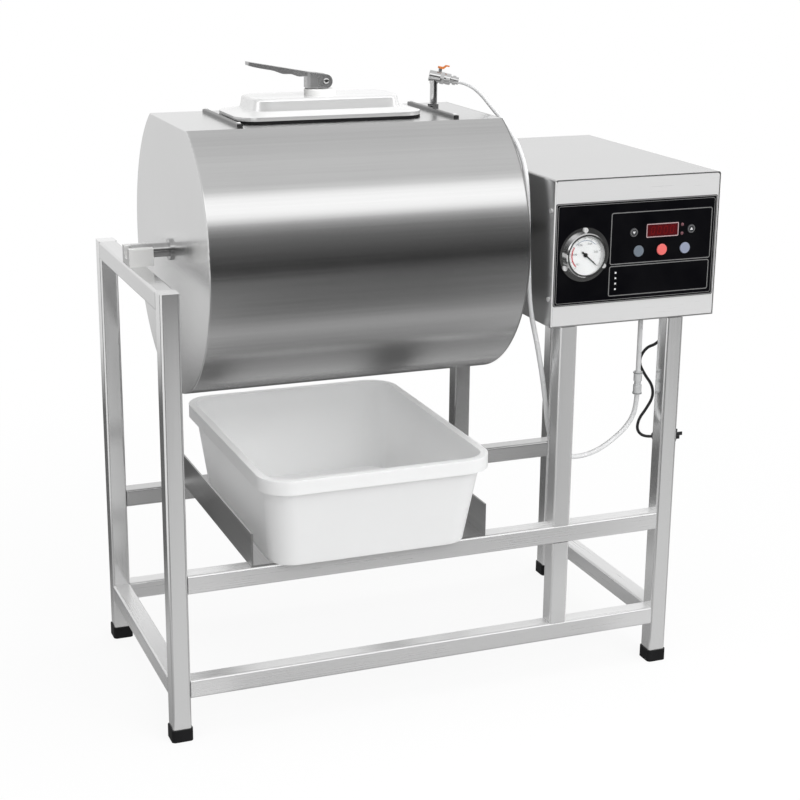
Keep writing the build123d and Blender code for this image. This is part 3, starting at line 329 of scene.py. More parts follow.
def lit(name, dark, light, glow, strength):
    """Coloured lamp plastic that glows a little, darker towards the cloudier places."""
    material, tree, shader = new_material(name)
    shader.inputs["Emission Color"].default_value = (*glow, 1.0)
    shader.inputs["Emission Strength"].default_value = strength
    shader.inputs["Coat Weight"].default_value = 0.6
    settings = {
        "Grain": 500.0,
        "Dark": (*dark, 1.0),
        "Light": (*light, 1.0),
        "Rough Low": 0.12,
        "Rough High": 0.22,
    }
    textured(tree, shader, MOULDED, settings, 0.02, 0.0001)
    return material


def print_ink(name, dark, light, rough=(0.4, 0.5)):
    """Thin even print on a dial or panel."""
    return moulded(name, dark, light, rough, 1500.0, 0.01)


def key_film(name, dark, light, rub):
    """Film over a push button, rubbed at its edge."""
    return moulded(name, dark, light, (0.25, 0.36), 1500.0, 0.03, rub=rub)


# Finishes of this machine

ALONG_X = (3.0, 420.0, 420.0)
ALONG_Y = (420.0, 3.0, 420.0)
ALONG_Z = (420.0, 420.0, 3.0)
TUBE_X = steel("tube_grain_along_x", ALONG_X, 0.89, 0.92, (0.26, 0.31), 0.66, 0.004)
TUBE_Y = steel("tube_grain_along_y", ALONG_Y, 0.86, 0.89, (0.26, 0.31), 0.66, 0.004)
TUBE_Z = steel("tube_grain_along_z", ALONG_Z, 0.90, 0.93, (0.22, 0.27), 0.66, 0.004)
LEG = steel("leg_grain_along_z", ALONG_Z, 0.90, 0.93, (0.13, 0.18), 0.87, 0.003)
# Painted shade: a darker, more mirror-like copy of the tube steel for the back middle rail, which lies in
# shade
SHADED_POLISHED_X = steel("polished_tube_painted_shade_along_x", ALONG_X, 0.60, 0.66, (0.20, 0.26), 0.92, 0.006)
POLISHED_Y = steel("polished_tube_along_y", ALONG_Y, 0.72, 0.78, (0.10, 0.16), 0.85, 0.005)
# Painted shade: a darker, more mirror-like copy of the tube steel for the back post, which stands in shade
SHADED_POLISHED_Z = steel("polished_tube_painted_shade_along_z", ALONG_Z, 0.60, 0.66, (0.18, 0.24), 0.95, 0.006)
RUNNER = steel("runner_sheet", ALONG_Y, 0.36, 0.46, (0.30, 0.42), 0.85, 0.02)
DRUM = steel("drum_sheet", (1.6, 320.0, 320.0), 0.65, 0.71, (0.20, 0.27), 1.0, 0.015, 0.85)
END = steel("drum_end_sheet", (160.0, 160.0, 8.0), 0.72, 0.78, (0.18, 0.26), 1.0, 0.012)
# Painted shade: a darker copy of the end sheet for the drum's right end and fins, for the shade in the
# drum and in the gap by the box
SHADED_SHEET = steel("sheet_with_painted_shade", ALONG_X, 0.36, 0.46, (0.30, 0.42), 1.0)
LID = steel("lid_polished", (6.0, 200.0, 200.0), 0.88, 0.93, (0.10, 0.15), 0.56, 0.01)
STOP = steel("stop_bar_steel", ALONG_Y, 0.13, 0.26, (0.25, 0.38), 1.0)
BOX = steel("box_sheet", ALONG_X, 0.60, 0.65, (0.18, 0.26), 0.87, 0.015)
BOX_FACE = steel("box_face_sheet", (5.0, 900.0, 900.0), 0.86, 0.875, (0.27, 0.30), 0.32, 0.001)
# Bright, mostly matt steel for the bead up the box's front left edge: a painted highlight where the fold
# catches light
EDGE_HIGHLIGHT = steel("box_edge_painted_highlight", ALONG_Z, 0.90, 0.95, (0.20, 0.30), 0.30, 0.01)
BOX_IN = steel("box_floor_sheet", ALONG_Y, 0.52, 0.64, (0.30, 0.42), 0.8)
CHROME = steel("chrome_plate", (60.0, 60.0, 60.0), 0.66, 0.76, (0.05, 0.11), 1.0, 0.01)
SHAFT = steel("turned_shaft", (900.0, 14.0, 14.0), 0.46, 0.60, (0.08, 0.14), 1.0, 0.02)
SCREW = steel("zinc_screw", (300.0, 300.0, 300.0), 0.86, 0.94, (0.18, 0.28), 0.35, 0.02)
RUBBER = moulded(
    "black_rubber", (0.006, 0.006, 0.007), (0.015, 0.015, 0.016), (0.55, 0.7), 1400.0, 0.12,
    rub=(0.03, 0.03, 0.03), gloss=0.2,
)
NYLON = moulded("white_nylon", (0.80, 0.80, 0.79), (0.88, 0.88, 0.87), (0.35, 0.48), 1200.0, 0.04)
# The tray's glow is painted light: an even emission that lightens all of it, also where the drum shades it
TRAY = moulded(
    "tray_polythene", (0.93, 0.935, 0.935), (0.96, 0.965, 0.965), (0.28, 0.40), 700.0, 0.03,
    soft=0.45, glow=0.07,
)
FILM = moulded(
    "overlay_film", (0.002, 0.002, 0.003), (0.005, 0.005, 0.006), (0.16, 0.24), 1600.0, 0.03, gloss=0.08
)
SILVER = steel("silver_print", (500.0, 500.0, 500.0), 0.24, 0.34, (0.3, 0.42), 0.4, 0.01)
PLASTIC = moulded(
    "black_plastic", (0.012, 0.012, 0.013), (0.026, 0.026, 0.028), (0.35, 0.5), 1300.0, 0.08,
    rub=(0.06, 0.06, 0.06),
)
CAST = moulded(
    "lever_casting", (0.42, 0.42, 0.422), (0.56, 0.56, 0.562), (0.20, 0.32), 1500.0, 0.10,
    rub=(0.72, 0.72, 0.73), metallic=0.75,
)
MOTOR = moulded(
    "motor_paint", (0.10, 0.13, 0.16), (0.14, 0.17, 0.20), (0.35, 0.5), 1000.0, 0.08, rub=(0.3, 0.3, 0.3)
)
BEARING = moulded(
    "bearing_casting", (0.20, 0.21, 0.21), (0.28, 0.29, 0.29), (0.4, 0.55), 1100.0, 0.12,
    rub=(0.45, 0.45, 0.45),
)
BOARD = moulded("board_lacquer", (0.012, 0.075, 0.030), (0.020, 0.110, 0.045), (0.25, 0.4), 800.0, 0.05)
ORANGE = moulded("handle_orange", (0.62, 0.17, 0.03), (0.74, 0.23, 0.05), (0.3, 0.42), 1500.0, 0.05)
DIAL = moulded("dial_white", (0.88, 0.89, 0.89), (0.93, 0.94, 0.94), (0.4, 0.5), 1500.0, 0.01)
BLACK_PRINT = print_ink("black_print", (0.010, 0.010, 0.012), (0.020, 0.020, 0.022))
RED_PRINT = print_ink("red_print", (0.55, 0.03, 0.05), (0.66, 0.05, 0.07))
BLUE_PRINT = print_ink("blue_print", (0.20, 0.26, 0.36), (0.28, 0.34, 0.44))
WHITE_PRINT = print_ink("white_print", (0.72, 0.72, 0.73), (0.80, 0.80, 0.81))
PINK_PRINT = print_ink("window_edge_print", (0.42, 0.30, 0.31), (0.52, 0.38, 0.39), (0.3, 0.4))
NEEDLE = moulded("needle_black", (0.006, 0.006, 0.007), (0.014, 0.014, 0.015), (0.35, 0.5), 1500.0, 0.02)
ARROW_KEY = key_film("arrow_key_film", (0.022, 0.023, 0.026), (0.040, 0.041, 0.045), (0.30, 0.31, 0.33))
GREY_KEY = key_film("grey_key_film", (0.12, 0.15, 0.185), (0.16, 0.19, 0.23), (0.34, 0.36, 0.38))
RED_KEY = key_film("red_key_film", (0.74, 0.13, 0.12), (0.82, 0.17, 0.16), (0.85, 0.25, 0.22))
BLUE_KEY = key_film("blue_key_film", (0.24, 0.27, 0.36), (0.29, 0.32, 0.42), (0.42, 0.46, 0.54))
HOSE = clear("clear_hose", (0.93, 0.935, 0.94), (0.24, 0.36), 0.16)
JOINT = clear("connector_plastic", (0.84, 0.85, 0.855), (0.2, 0.32), 0.20)
RIM = moulded("connector_rim", (0.26, 0.27, 0.275), (0.34, 0.35, 0.355), (0.3, 0.42), 1200.0, 0.03)
LENS = clear("gauge_glass", (0.99, 0.99, 0.99), (0.0, 0.02), 1.0, 0.25)
WINDOW_RED = lit("display_red", (0.030, 0.001, 0.002), (0.055, 0.001, 0.003), (0.035, 0.0005, 0.001), 1.0)
FIGURE_RED = lit("figure_red", (0.060, 0.002, 0.002), (0.080, 0.002, 0.003), (0.075, 0.001, 0.001), 1.0)
LAMP_RED = lit("lamp_red", (0.12, 0.050, 0.060), (0.17, 0.075, 0.085), (0.012, 0.002, 0.003), 1.0)

NODE_FINISH = {
    "leg_front_left": LEG,
    "leg_back_left": LEG,
    "leg_front_right": LEG,
    "leg_back_right": LEG,
    "post_front_upper": TUBE_Z,
    "post_front_lower": TUBE_Z,
    "post_back": SHADED_POLISHED_Z,
    "rail_bottom_front": TUBE_X,
    "rail_bottom_back": TUBE_X,
    "rail_middle_front": TUBE_X,
    "rail_middle_back": SHADED_POLISHED_X,
    "rail_bottom_left": TUBE_Y,
    "rail_bottom_right": TUBE_Y,
    "rail_top_left": POLISHED_Y,
    "runner_left": RUNNER,
    "runner_right": RUNNER,
    "foot_caps": RUBBER,
    "bearing_block": NYLON,
    "box_cover": BOX,
    "box_base": BOX_IN,
    "box_front": BOX_FACE,
    "panel_overlay": FILM,
    "display_window": WINDOW_RED,
    "control_board": BOARD,
    "gauge_case": CHROME,
    "gauge_dial": DIAL,
    "gauge_lens": LENS,
    "gauge_needle": NEEDLE,
    "panel_screws": SCREW,
    "flange_bearing": BEARING,
    "gear_motor": MOTOR,
    "vacuum_pump": PLASTIC,
    "hose_fitting": CHROME,
    "cable_gland": PLASTIC,
    "hose_connector": JOINT,
    "power_plug": PLASTIC,
    "drum_shell": DRUM,
    "drum_end_left": END,
    "drum_end_right": SHADED_SHEET,
    "drum_fins": SHADED_SHEET,
    "stub_shaft": SHAFT,
    "drive_shaft": SHAFT,
    "lid_stops": STOP,
    "stop_screws": SCREW,
    "valve_pipe": CHROME,
    "valve_body": CHROME,
    "valve_handle": ORANGE,
    "hatch_lid": LID,
    "lid_gasket": RUBBER,
    "thrust_washer": NYLON,
    "clamp_spindle": CHROME,
    "cam_lever": CAST,
    "drain_tray": TRAY,
    "button_down": ARROW_KEY,
    "button_up": ARROW_KEY,
    "button_set": GREY_KEY,
    "button_stop": RED_KEY,
    "button_start": BLUE_KEY,
}


def dress_solids():
    """Gives each CAD node its finish, in its own material slots. The drum doesn't mirror the tray."""
    for node, finish in NODE_FINISH.items():
        mesh = bpy.data.objects[node].data
        if not mesh.materials:
            mesh.materials.append(finish)
        for index in range(len(mesh.materials)):
            mesh.materials[index] = finish
    bpy.data.objects["drain_tray"].visible_glossy = False


# Hose and cord: smooth lines through the same route points as the solids

HOSE_ROUTE = (
    (0.10253, 0.04197, 0.96896),
    (0.11678, 0.03532, 0.96601),
    (0.13525, 0.02597, 0.95096),
    (0.14725, 0.00797, 0.92996),
    (0.15125, -0.02103, 0.91496),
    (0.15125, -0.05700, 0.89696),
    (0.15025, -0.09100, 0.87896),
    (0.14825, -0.12100, 0.84996),
    (0.14625, -0.13800, 0.80596),
    (0.14525, -0.14700, 0.71596),
    (0.14725, -0.15300, 0.63396),
    (0.16325, -0.15300, 0.57200),
    (0.18100, -0.14900, 0.49200),
    (0.19100, -0.14700, 0.41400),
    (0.22100, -0.14500, 0.37000),
    (0.27700, -0.14300, 0.37000),
    (0.32700, -0.14100, 0.39800),
    (0.35200, -0.13900, 0.42400),
    (0.35800, -0.13900, 0.45200),
    (0.35800, -0.13900, 0.48600),
    (0.35800, -0.13900, 0.59400),
)
CORD_ROUTE = (
    (0.4210, -0.1100, 0.5730),
    (0.4200, -0.1100, 0.5550),
    (0.4070, -0.1110, 0.5400),
    (0.3860, -0.1120, 0.5360),
    (0.3720, -0.1130, 0.5140),
    (0.3860, -0.1130, 0.4890),
    (0.4010, -0.1140, 0.4700),
    (0.4040, -0.1140, 0.4490),
    (0.3910, -0.1150, 0.4290),
    (0.3770, -0.1150, 0.4120),
    (0.3750, -0.1150, 0.3920),
    (0.3910, -0.1150, 0.3790),
    (0.4070, -0.1150, 0.3790),
)


def flexible_line(name, route, diameter, finish, node):
    """Round line on a NURBS curve whose control points are the route, standing for its solid."""
    curve = bpy.data.curves.new(name, "CURVE")
    curve.dimensions = "3D"
    curve.bevel_depth = diameter / 2
    curve.bevel_resolution = 6
    curve.resolution_u = 12
    curve.use_fill_caps = True
    line = curve.splines.new("NURBS")
    line.points.add(len(route) - 1)
    line.points.foreach_set("co", np.column_stack([np.array(route), np.ones(len(route))]).ravel())
    line.order_u = 3
    line.use_endpoint_u = True
    curve.materials.append(finish)
    piece = bpy.data.objects.new(name, curve)
    bpy.context.scene.collection.objects.link(piece)
    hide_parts(node)
    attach(piece, "frame")
    return piece


def lay_hose_and_cord():
    """The clear vacuum hose from valve to box floor, and the power cord from gland to plug."""
    hose = flexible_line("vacuum_hose_line", HOSE_ROUTE, 0.008, HOSE, "vacuum_hose")
    cord = flexible_line("power_cord_line", CORD_ROUTE, 0.005, PLASTIC, "power_cord")


# Surfaces worked out as arrays

def place_mesh(name, points, faces, finish, body, smooth=False):
    """Makes one piece from its points and faces, and lets it ride on a body."""
    mesh = bpy.data.meshes.new(name)
    mesh.from_pydata(np.asarray(points).tolist(), [], faces)
    mesh.polygons.foreach_set("use_smooth", np.full(len(mesh.polygons), smooth))
    mesh.materials.append(finish)
    mesh.update()
    piece = bpy.data.objects.new(name, mesh)
    bpy.context.scene.collection.objects.link(piece)
    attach(piece, body)
    return piece


def ring_faces(rows, columns):
    """Quads of a grid that closes both ways, row by row, for points stored as rows x columns."""
    i, j = np.meshgrid(np.arange(rows), np.arange(columns), indexing="ij")
    here = i * columns + j
    right = i * columns + (j + 1) % columns
    below = ((i + 1) % rows) * columns + j
    corner = ((i + 1) % rows) * columns + (j + 1) % columns
    return np.stack([here, right, corner, below], axis=-1).reshape(-1, 4).tolist()


def closed_at_poles(points, quads):
    """Joins the points that meet at a pole, where a quad becomes a triangle or shrinks to nothing."""
    points = np.asarray(points).reshape(-1, 3)
    _, first, at = np.unique(np.round(points, 7), axis=0, return_index=True, return_inverse=True)
    corners = at.reshape(-1)[np.asarray(quads)]
    meets = corners == np.roll(corners, -1, axis=1)
    triangle = meets.sum(axis=1) == 1
    triangles = corners[triangle][~meets[triangle]].reshape(-1, 3)
    return points[first], corners[~meets.any(axis=1)].tolist() + triangles.tolist()


def rounded_outline(size, corner, grow, steps=8):
    """Rounded rectangle: each corner's centre plus (corner + grow) times a turning direction."""
    quarter = np.repeat(np.arange(4), steps)
    turn = (quarter + np.tile(np.linspace(0, 1, steps), 4)) * math.pi / 2
    sign_x = np.array([1, -1, -1, 1])[quarter]
    sign_z = np.array([1, 1, -1, -1])[quarter]
    x = sign_x * (size[0] / 2 - corner) + (corner + grow) * np.cos(turn)
    z = sign_z * (size[1] / 2 - corner) + (corner + grow) * np.sin(turn)
    return x, z


def printed_frame(name, middle, size, corner, stroke, lift, finish):
    """Printed line round a rounded rectangle: a flat oblong profile carried along the outline."""
    profile = ((-stroke / 2, 0.0), (stroke / 2, 0.0), (stroke / 2, lift), (-stroke / 2, lift))
    loops = []
    for grow, rise in profile:
        x, z = rounded_outline(size, corner, grow)
        loops.append(np.column_stack([middle[0] + x, np.full(len(x), PANEL_FACE - rise), middle[1] + z]))
    points = np.stack(loops)
    faces = ring_faces(len(profile), points.shape[1])
    return place_mesh(name, points.reshape(-1, 3), faces, finish, "frame")


def turned_ring(name, middle, profile, finish, body, face, steps=48, smooth=True):
    """Ring or dome turned about an axis along Y: radius and rise of each profile point, swept round."""
    turn = np.linspace(0, 2 * math.pi, steps, endpoint=False)
    radius = np.array([p[0] for p in profile])[:, None]
    rise = np.array([p[1] for p in profile])[:, None]
    x = middle[0] + radius * np.cos(turn)
    z = middle[1] + radius * np.sin(turn)
    y = np.broadcast_to(face - rise, x.shape)
    points, faces = closed_at_poles(np.stack([x, y, z], axis=-1), ring_faces(len(profile), steps))
    return place_mesh(name, points, faces, finish, body, smooth)


def flat_mark(name, outlines, face, lift, finish, body):
    """Printed mark: each outline as a thin slab, front face, back face and walls between them."""
    points, faces = [], []
    start = 0
    for outline in outlines:
        ring = np.asarray(outline)
        count = len(ring)
        points.append(np.column_stack([ring[:, 0], np.full(count, face - lift), ring[:, 1]]))
        points.append(np.column_stack([ring[:, 0], np.full(count, face), ring[:, 1]]))
        index = np.arange(count)
        following = (index + 1) % count
        faces.append((start + index).tolist())
        faces.append((start + count + index[::-1]).tolist())
        walls = np.stack([following, index, count + index, count + following], axis=-1)
        faces.extend((start + walls).tolist())
        start += 2 * count
    return place_mesh(name, np.concatenate(points), faces, finish, body)


def arc_outline(middle, inner, outer, start, end, steps=40):
    """Band between two radii from one angle to another: out along one arc and back along the other."""
    turn = np.radians(np.linspace(start, end, steps))
    x = np.concatenate([outer * np.cos(turn), inner * np.cos(turn[::-1])]) + middle[0]
    z = np.concatenate([outer * np.sin(turn), inner * np.sin(turn[::-1])]) + middle[1]
    return np.column_stack([x, z])


def tick_outline(middle, inner, outer, width, angle):
    """Scale stroke: an oblong that points outwards at an angle."""
    along = np.array([math.cos(math.radians(angle)), math.sin(math.radians(angle))])
    across = np.array([-along[1], along[0]])
    corners = ((inner, -width / 2), (outer, -width / 2), (outer, width / 2), (inner, width / 2))
    return np.array([np.array(middle) + r * along + w * across for r, w in corners])


def figures(name, text, middle, height, face, finish, body):
    """Plain figures: a text outline made into a mesh, then set upright on the face by its points."""
    curve = bpy.data.curves.new(name + "_text", "FONT")
    curve.body = text
    curve.size = height * 1.4
    curve.align_x = "CENTER"
    curve.align_y = "CENTER"
    curve.extrude = FIGURE_PRINT / 2
    draft = bpy.data.objects.new(name + "_text", curve)
    bpy.context.scene.collection.objects.link(draft)
    bpy.context.view_layer.update()
    mesh = bpy.data.meshes.new_from_object(draft.evaluated_get(bpy.context.evaluated_depsgraph_get()))
    bpy.data.objects.remove(draft)
    bpy.data.curves.remove(curve)
    flat = np.empty(len(mesh.vertices) * 3)
    mesh.vertices.foreach_get("co", flat)
    flat = flat.reshape(-1, 3)
    upright = np.column_stack(
        [middle[0] + flat[:, 0], face - FIGURE_PRINT / 2 - flat[:, 2], middle[1] + flat[:, 1]]
    )
    mesh.vertices.foreach_set("co", upright.ravel())
    mesh.name = name
    mesh.materials.clear()
    mesh.materials.append(finish)
    mesh.update()
    piece = bpy.data.objects.new(name, mesh)
    bpy.context.scene.collection.objects.link(piece)
    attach(piece, body)
    return piece


def dial_mark(name, outlines, finish):
    """Print on the gauge's dial."""
    flat_mark(name, outlines, DIAL_FACE, DIAL_PRINT, finish, "frame")


def print_dial():
    """Vacuum scale: strokes over 270 degrees, a red band at the strong end, and plain figures."""
    first, sweep = -41.0, 270.0
    fine_steps, bold_steps = 50, 10
    band_inner, line_outer = 0.0226, 0.0289
    stroke_inner, stroke_outer, stroke_width = 0.0246, 0.0286, 0.00050
    fine_inner, fine_outer, fine_width = 0.0262, 0.0284, 0.00022
    fine = [
        tick_outline(GAUGE, fine_inner, fine_outer, fine_width, first + sweep * step / fine_steps)
        for step in range(fine_steps + 1)
    ]
    bold = [
        tick_outline(GAUGE, stroke_inner, stroke_outer, stroke_width, first + sweep * step / bold_steps)
        for step in range(bold_steps + 1)
    ]
    dial_mark("dial_strokes", fine + bold, BLACK_PRINT)
    line = arc_outline(GAUGE, stroke_outer, line_outer, first, first + sweep, 90)
    dial_mark("dial_line", [line], BLACK_PRINT)
    dial_mark("dial_red_band", [arc_outline(GAUGE, band_inner, stroke_inner, 146.0, 228.0)], RED_PRINT)
    dial_mark("dial_blue_band", [arc_outline(GAUGE, band_inner, 0.0236, 44.0, 136.0)], BLUE_PRINT)
    figure_circle, figure_height = 0.0188, 0.0032
    for step in range(0, bold_steps + 1, 2):
        turn = math.radians(first + sweep * step / bold_steps)
        place = (GAUGE[0] + figure_circle * math.cos(turn), GAUGE[1] + figure_circle * math.sin(turn))
        text = "0" if step == 0 else f"0.{step:02d}" if step < bold_steps else "0.1"
        name = f"dial_figure_{step:02d}"
        figures(name, text, place, figure_height, DIAL_FACE, BLACK_PRINT, "frame")


def print_panel():
    """Lines, lamps and marks on the black overlay."""
    corner = 0.003
    printed_frame("overlay_border", OVERLAY, (0.2855, 0.1605), corner, 0.0016, PRINT, SILVER)
    printed_frame("overlay_border_inner", OVERLAY, (0.2790, 0.1540), corner, 0.0007, PRINT, SILVER)
    stroke = 0.0014
    printed_frame("keys_frame", (0.3575, 0.74225), (0.181, 0.0815), corner, stroke, PRINT, SILVER)
    printed_frame("notes_frame", (0.3565, 0.67425), (0.180, 0.0475), corner, stroke, PRINT, SILVER)
    printed_frame("window_border", WINDOW, (0.0566, 0.0206), 0.0012, stroke, 1.5 * PRINT, PINK_PRINT)
    square_half, squares_across = 0.0014, 0.2778
    square = square_half * np.array([[-1, -1], [1, -1], [1, 1], [-1, 1]])
    squares = [square + np.array([squares_across, height]) for height in (0.6876, 0.6790, 0.6702, 0.6612)]
    flat_mark("notes_squares", squares, PANEL_FACE, PRINT, WHITE_PRINT, "frame")
    lamps_across = 0.3945
    dome = ((0.0, 0.0), (0.0028, 0.0), (0.0027, 0.0005), (0.0021, 0.0010), (0.0012, 0.0013), (0.0, 0.0014))
    for label, height in (("upper", 0.7582), ("lower", 0.7440)):
        place = (lamps_across, height)
        turned_ring(f"panel_lamp_{label}", place, dome, LAMP_RED, "frame", PANEL_FACE, 24)


def segment_outline(middle, size, which):
    """One bar of a seven-bar figure: a pointed oblong, level or upright."""
    wide, tall, thick = size
    level = which in "adg"
    long = (wide if level else tall / 2) / 2 - 0.12 * thick
    half = thick / 2
    neck = long - half
    bar = np.array([[-long, 0], [-neck, -half], [neck, -half], [long, 0], [neck, half], [-neck, half]])
    if not level:
        bar = bar[:, ::-1] * np.array([-1, 1])
    shift = {
        "a": (0, 0.5),
        "b": (0.5, 0.25),
        "c": (0.5, -0.25),
        "d": (0, -0.5),
        "e": (-0.5, -0.25),
        "f": (-0.5, 0.25),
        "g": (0, 0),
    }
    offset = np.array(shift[which]) * np.array([wide, tall])
    lean = np.array([[1.0, 0.0], [0.12, 1.0]])
    return (bar + offset) @ lean + np.array(middle)


def show_figures():
    """Four seven-bar figures on the red window, a shade brighter than it."""
    count, pitch = 4, 0.0115
    bars = []
    for step in range(count):
        middle = (WINDOW[0] + (step - (count - 1) / 2) * pitch, WINDOW[1])
        bars.extend(segment_outline(middle, (0.0056, 0.0112, 0.0013), which) for which in "abcdef")
    flat_mark("window_figures", bars, PANEL_FACE, FIGURE_PRINT, FIGURE_RED, "frame")


def key_ring(body, middle, inner, outer, lift, finish):
    """Thin flat ring round a key's edge, on that key's body."""
    profile = ((inner, 0.0), (outer, 0.0), (outer, lift), (inner, lift))
    turned_ring(f"{body}_ring", middle, profile, finish, body, KEY_FACE, smooth=False)


def mark_keys():
    """Arrows on the two arrow keys and a ring on every key, each on its own key's body."""
    arrow = 0.0027 * np.array([[-1.0, -0.62], [1.0, -0.62], [0.0, 0.95]])
    for body, across, flip in (("key_down", -ARROW_ACROSS, -1), ("key_up", ARROW_ACROSS, 1)):
        middle = np.array([WINDOW[0] + across, ARROW_ROW])
        outline = arrow * flip + middle
        flat_mark(f"{body}_arrow", [outline], KEY_FACE, PRINT, WHITE_PRINT, body)
        key_ring(body, middle, 0.0052, 0.0060, 1.2 * PRINT, SILVER)
    for body, across, finish, slot in (
        ("key_set", -KEY_ACROSS, GREY_KEY, "grey_key"),
        ("key_stop", 0.0, RED_KEY, "red_key"),
        ("key_start", KEY_ACROSS, BLUE_KEY, "blue_key"),
    ):
        key_ring(body, (WINDOW[0] + across, KEY_ROW), 0.0070, 0.0075, PRINT, finish)


def edge_bead(name, across, front, low, high, radius, finish):
    """Rounded bead up an edge: a circle of the given radius carried straight up, domed at both ends."""
    around = 20
    foot = np.linspace(-math.pi / 2, 0, 5)
    head = np.linspace(0, math.pi / 2, 5)
    level = np.concatenate([low + radius * (1 + np.sin(foot)), high - radius * (1 - np.sin(head))])
    girth = radius * np.cos(np.concatenate([foot, head]))
    turn = np.linspace(0, 2 * math.pi, around, endpoint=False)
    x = across + girth[:, None] * np.cos(turn)
    y = front + girth[:, None] * np.sin(turn)
    z = np.broadcast_to(level[:, None], x.shape)
    points, faces = closed_at_poles(np.stack([x, y, z], axis=-1), ring_faces(len(level), around))
    return place_mesh(name, points, faces, finish, "frame", True)


def level_collar(name, middle, level, inner, outer, tall, finish):
    """Flat collar round an upright axis: an oblong profile with eased edges, swept round."""
    ease = 0.25 * tall
    profile = np.array([
        (inner, -tall / 2), (outer - ease, -tall / 2), (outer, -tall / 2 + ease),
        (outer, tall / 2 - ease), (outer - ease, tall / 2), (inner, tall / 2),
    ])
    around = 32
    turn = np.linspace(0, 2 * math.pi, around, endpoint=False)
    x = middle[0] + profile[:, :1] * np.cos(turn)
    y = middle[1] + profile[:, :1] * np.sin(turn)
    z = np.broadcast_to(level + profile[:, 1:], x.shape)
    points = np.stack([x, y, z], axis=-1).reshape(-1, 3)
    return place_mesh(name, points, ring_faces(len(profile), around), finish, "frame")


def fit_trim():
    """Painted highlight: a bright bead up the box's front left edge. Dark rims on the connector, end of
    the lever's pin.
    """
    low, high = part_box("hose_connector")
    connector = HOSE_ROUTE[-1][:2]
    half = (high[0] - low[0]) / 2
    inset, proud, rim_tall = 0.0016, 0.0003, 0.0026
    for label, level in (("lower", low[2] + inset), ("upper", high[2] - inset)):
        name = f"connector_rim_{label}"
        level_collar(name, connector, level, half - inset, half + proud, rim_tall, RIM)
    # Painted highlight: a bright bead up the box's front left edge, where the fold would catch the light
    edge_bead(
        "box_edge_highlight_bead", across=0.1678, front=-0.1902, low=0.607, high=0.838, radius=0.0014, finish=EDGE_HIGHLIGHT
    )
    dome = ((0.0, 0.0), (0.0046, 0.0), (0.0046, 0.0008), (0.0040, 0.0015), (0.0024, 0.0020), (0.0, 0.0022))
    turned_ring("lever_pin_end", LEVER_PIN, dome, CHROME, "lever", LEVER_SIDE, 32)


# Floor, light and background

# The floor's own white and the white it throws back on matt surfaces. To the eye a part of it is plain
# white without shadow: how much near the machine and far from it, and the distances in metres between
FLOOR_WHITE = 0.92
FLOOR_BOUNCE = 0.32
FLOOR_PLAIN_NEAR = 0.90
FLOOR_PLAIN_FAR = 1.0
FLOOR_FADE = (0.6, 1.9)

# Brightness of the floor in metal, by its place along Y in metres
FLOOR_IN_METAL = (
    (-4.5, 0.03),
    (-2.2, 0.10),
    (-1.2, 0.16),
    (-0.90, 0.185),
    (-0.70, 0.28),
    (-0.54, 0.46),
    (-0.40, 0.36),
    (-0.20, 0.27),
    (0.02, 0.36),
    (0.20, 0.46),
    (0.38, 0.28),
    (0.60, 0.11),
    (1.60, 0.10),
    (2.20, 0.70),
    (3.40, 0.76),
)

# Brighter strips of floor in metal: left of the stand, before the left legs and before the right leg.
# Each has its slant, the spans of X + slant * Y over which it comes in from the left and from the right,
# the spans of Y over which it comes in from the front and from the back, and its level
FLOOR_STRIPS = (
    (0.0, (-9.0, -8.0), (-0.85, -1.15), (-9.0, -8.0), (0.75, 0.35), 0.80),
    (0.25, (-0.60, -0.53), (-0.37, -0.42), (-3.2, -2.6), (-0.05, -0.25), 0.55),
    (0.597, (0.14, 0.19), (0.42, 0.34), (-3.2, -2.6), (-0.05, -0.25), 0.55),
)


def eased(tree, value, span, top, low=0.0):
    """Value that goes smoothly from low to top while another goes from the span's start to its end."""
    step = add(tree, "ShaderNodeMapRange", interpolation_type="SMOOTHSTEP")
    step.inputs["From Min"].default_value, step.inputs["From Max"].default_value = span
    step.inputs["To Min"].default_value = low
    step.inputs["To Max"].default_value = top
    tree.links.new(value, step.inputs["Value"])
    return step.outputs["Result"]


def tone_ramp(tree, stops_at, low, high, top):
    """Colour ramp whose stops are given as places between low and high, with levels up to top."""
    ramp = add(tree, "ShaderNodeValToRGB")
    stops = ramp.color_ramp.elements
    while len(stops) < len(stops_at):
        stops.new(0.5)
    for stop, (place, level) in zip(stops, stops_at):
        stop.position = (place - low) / (high - low)
        stop.color = grey(level / top)
    return ramp


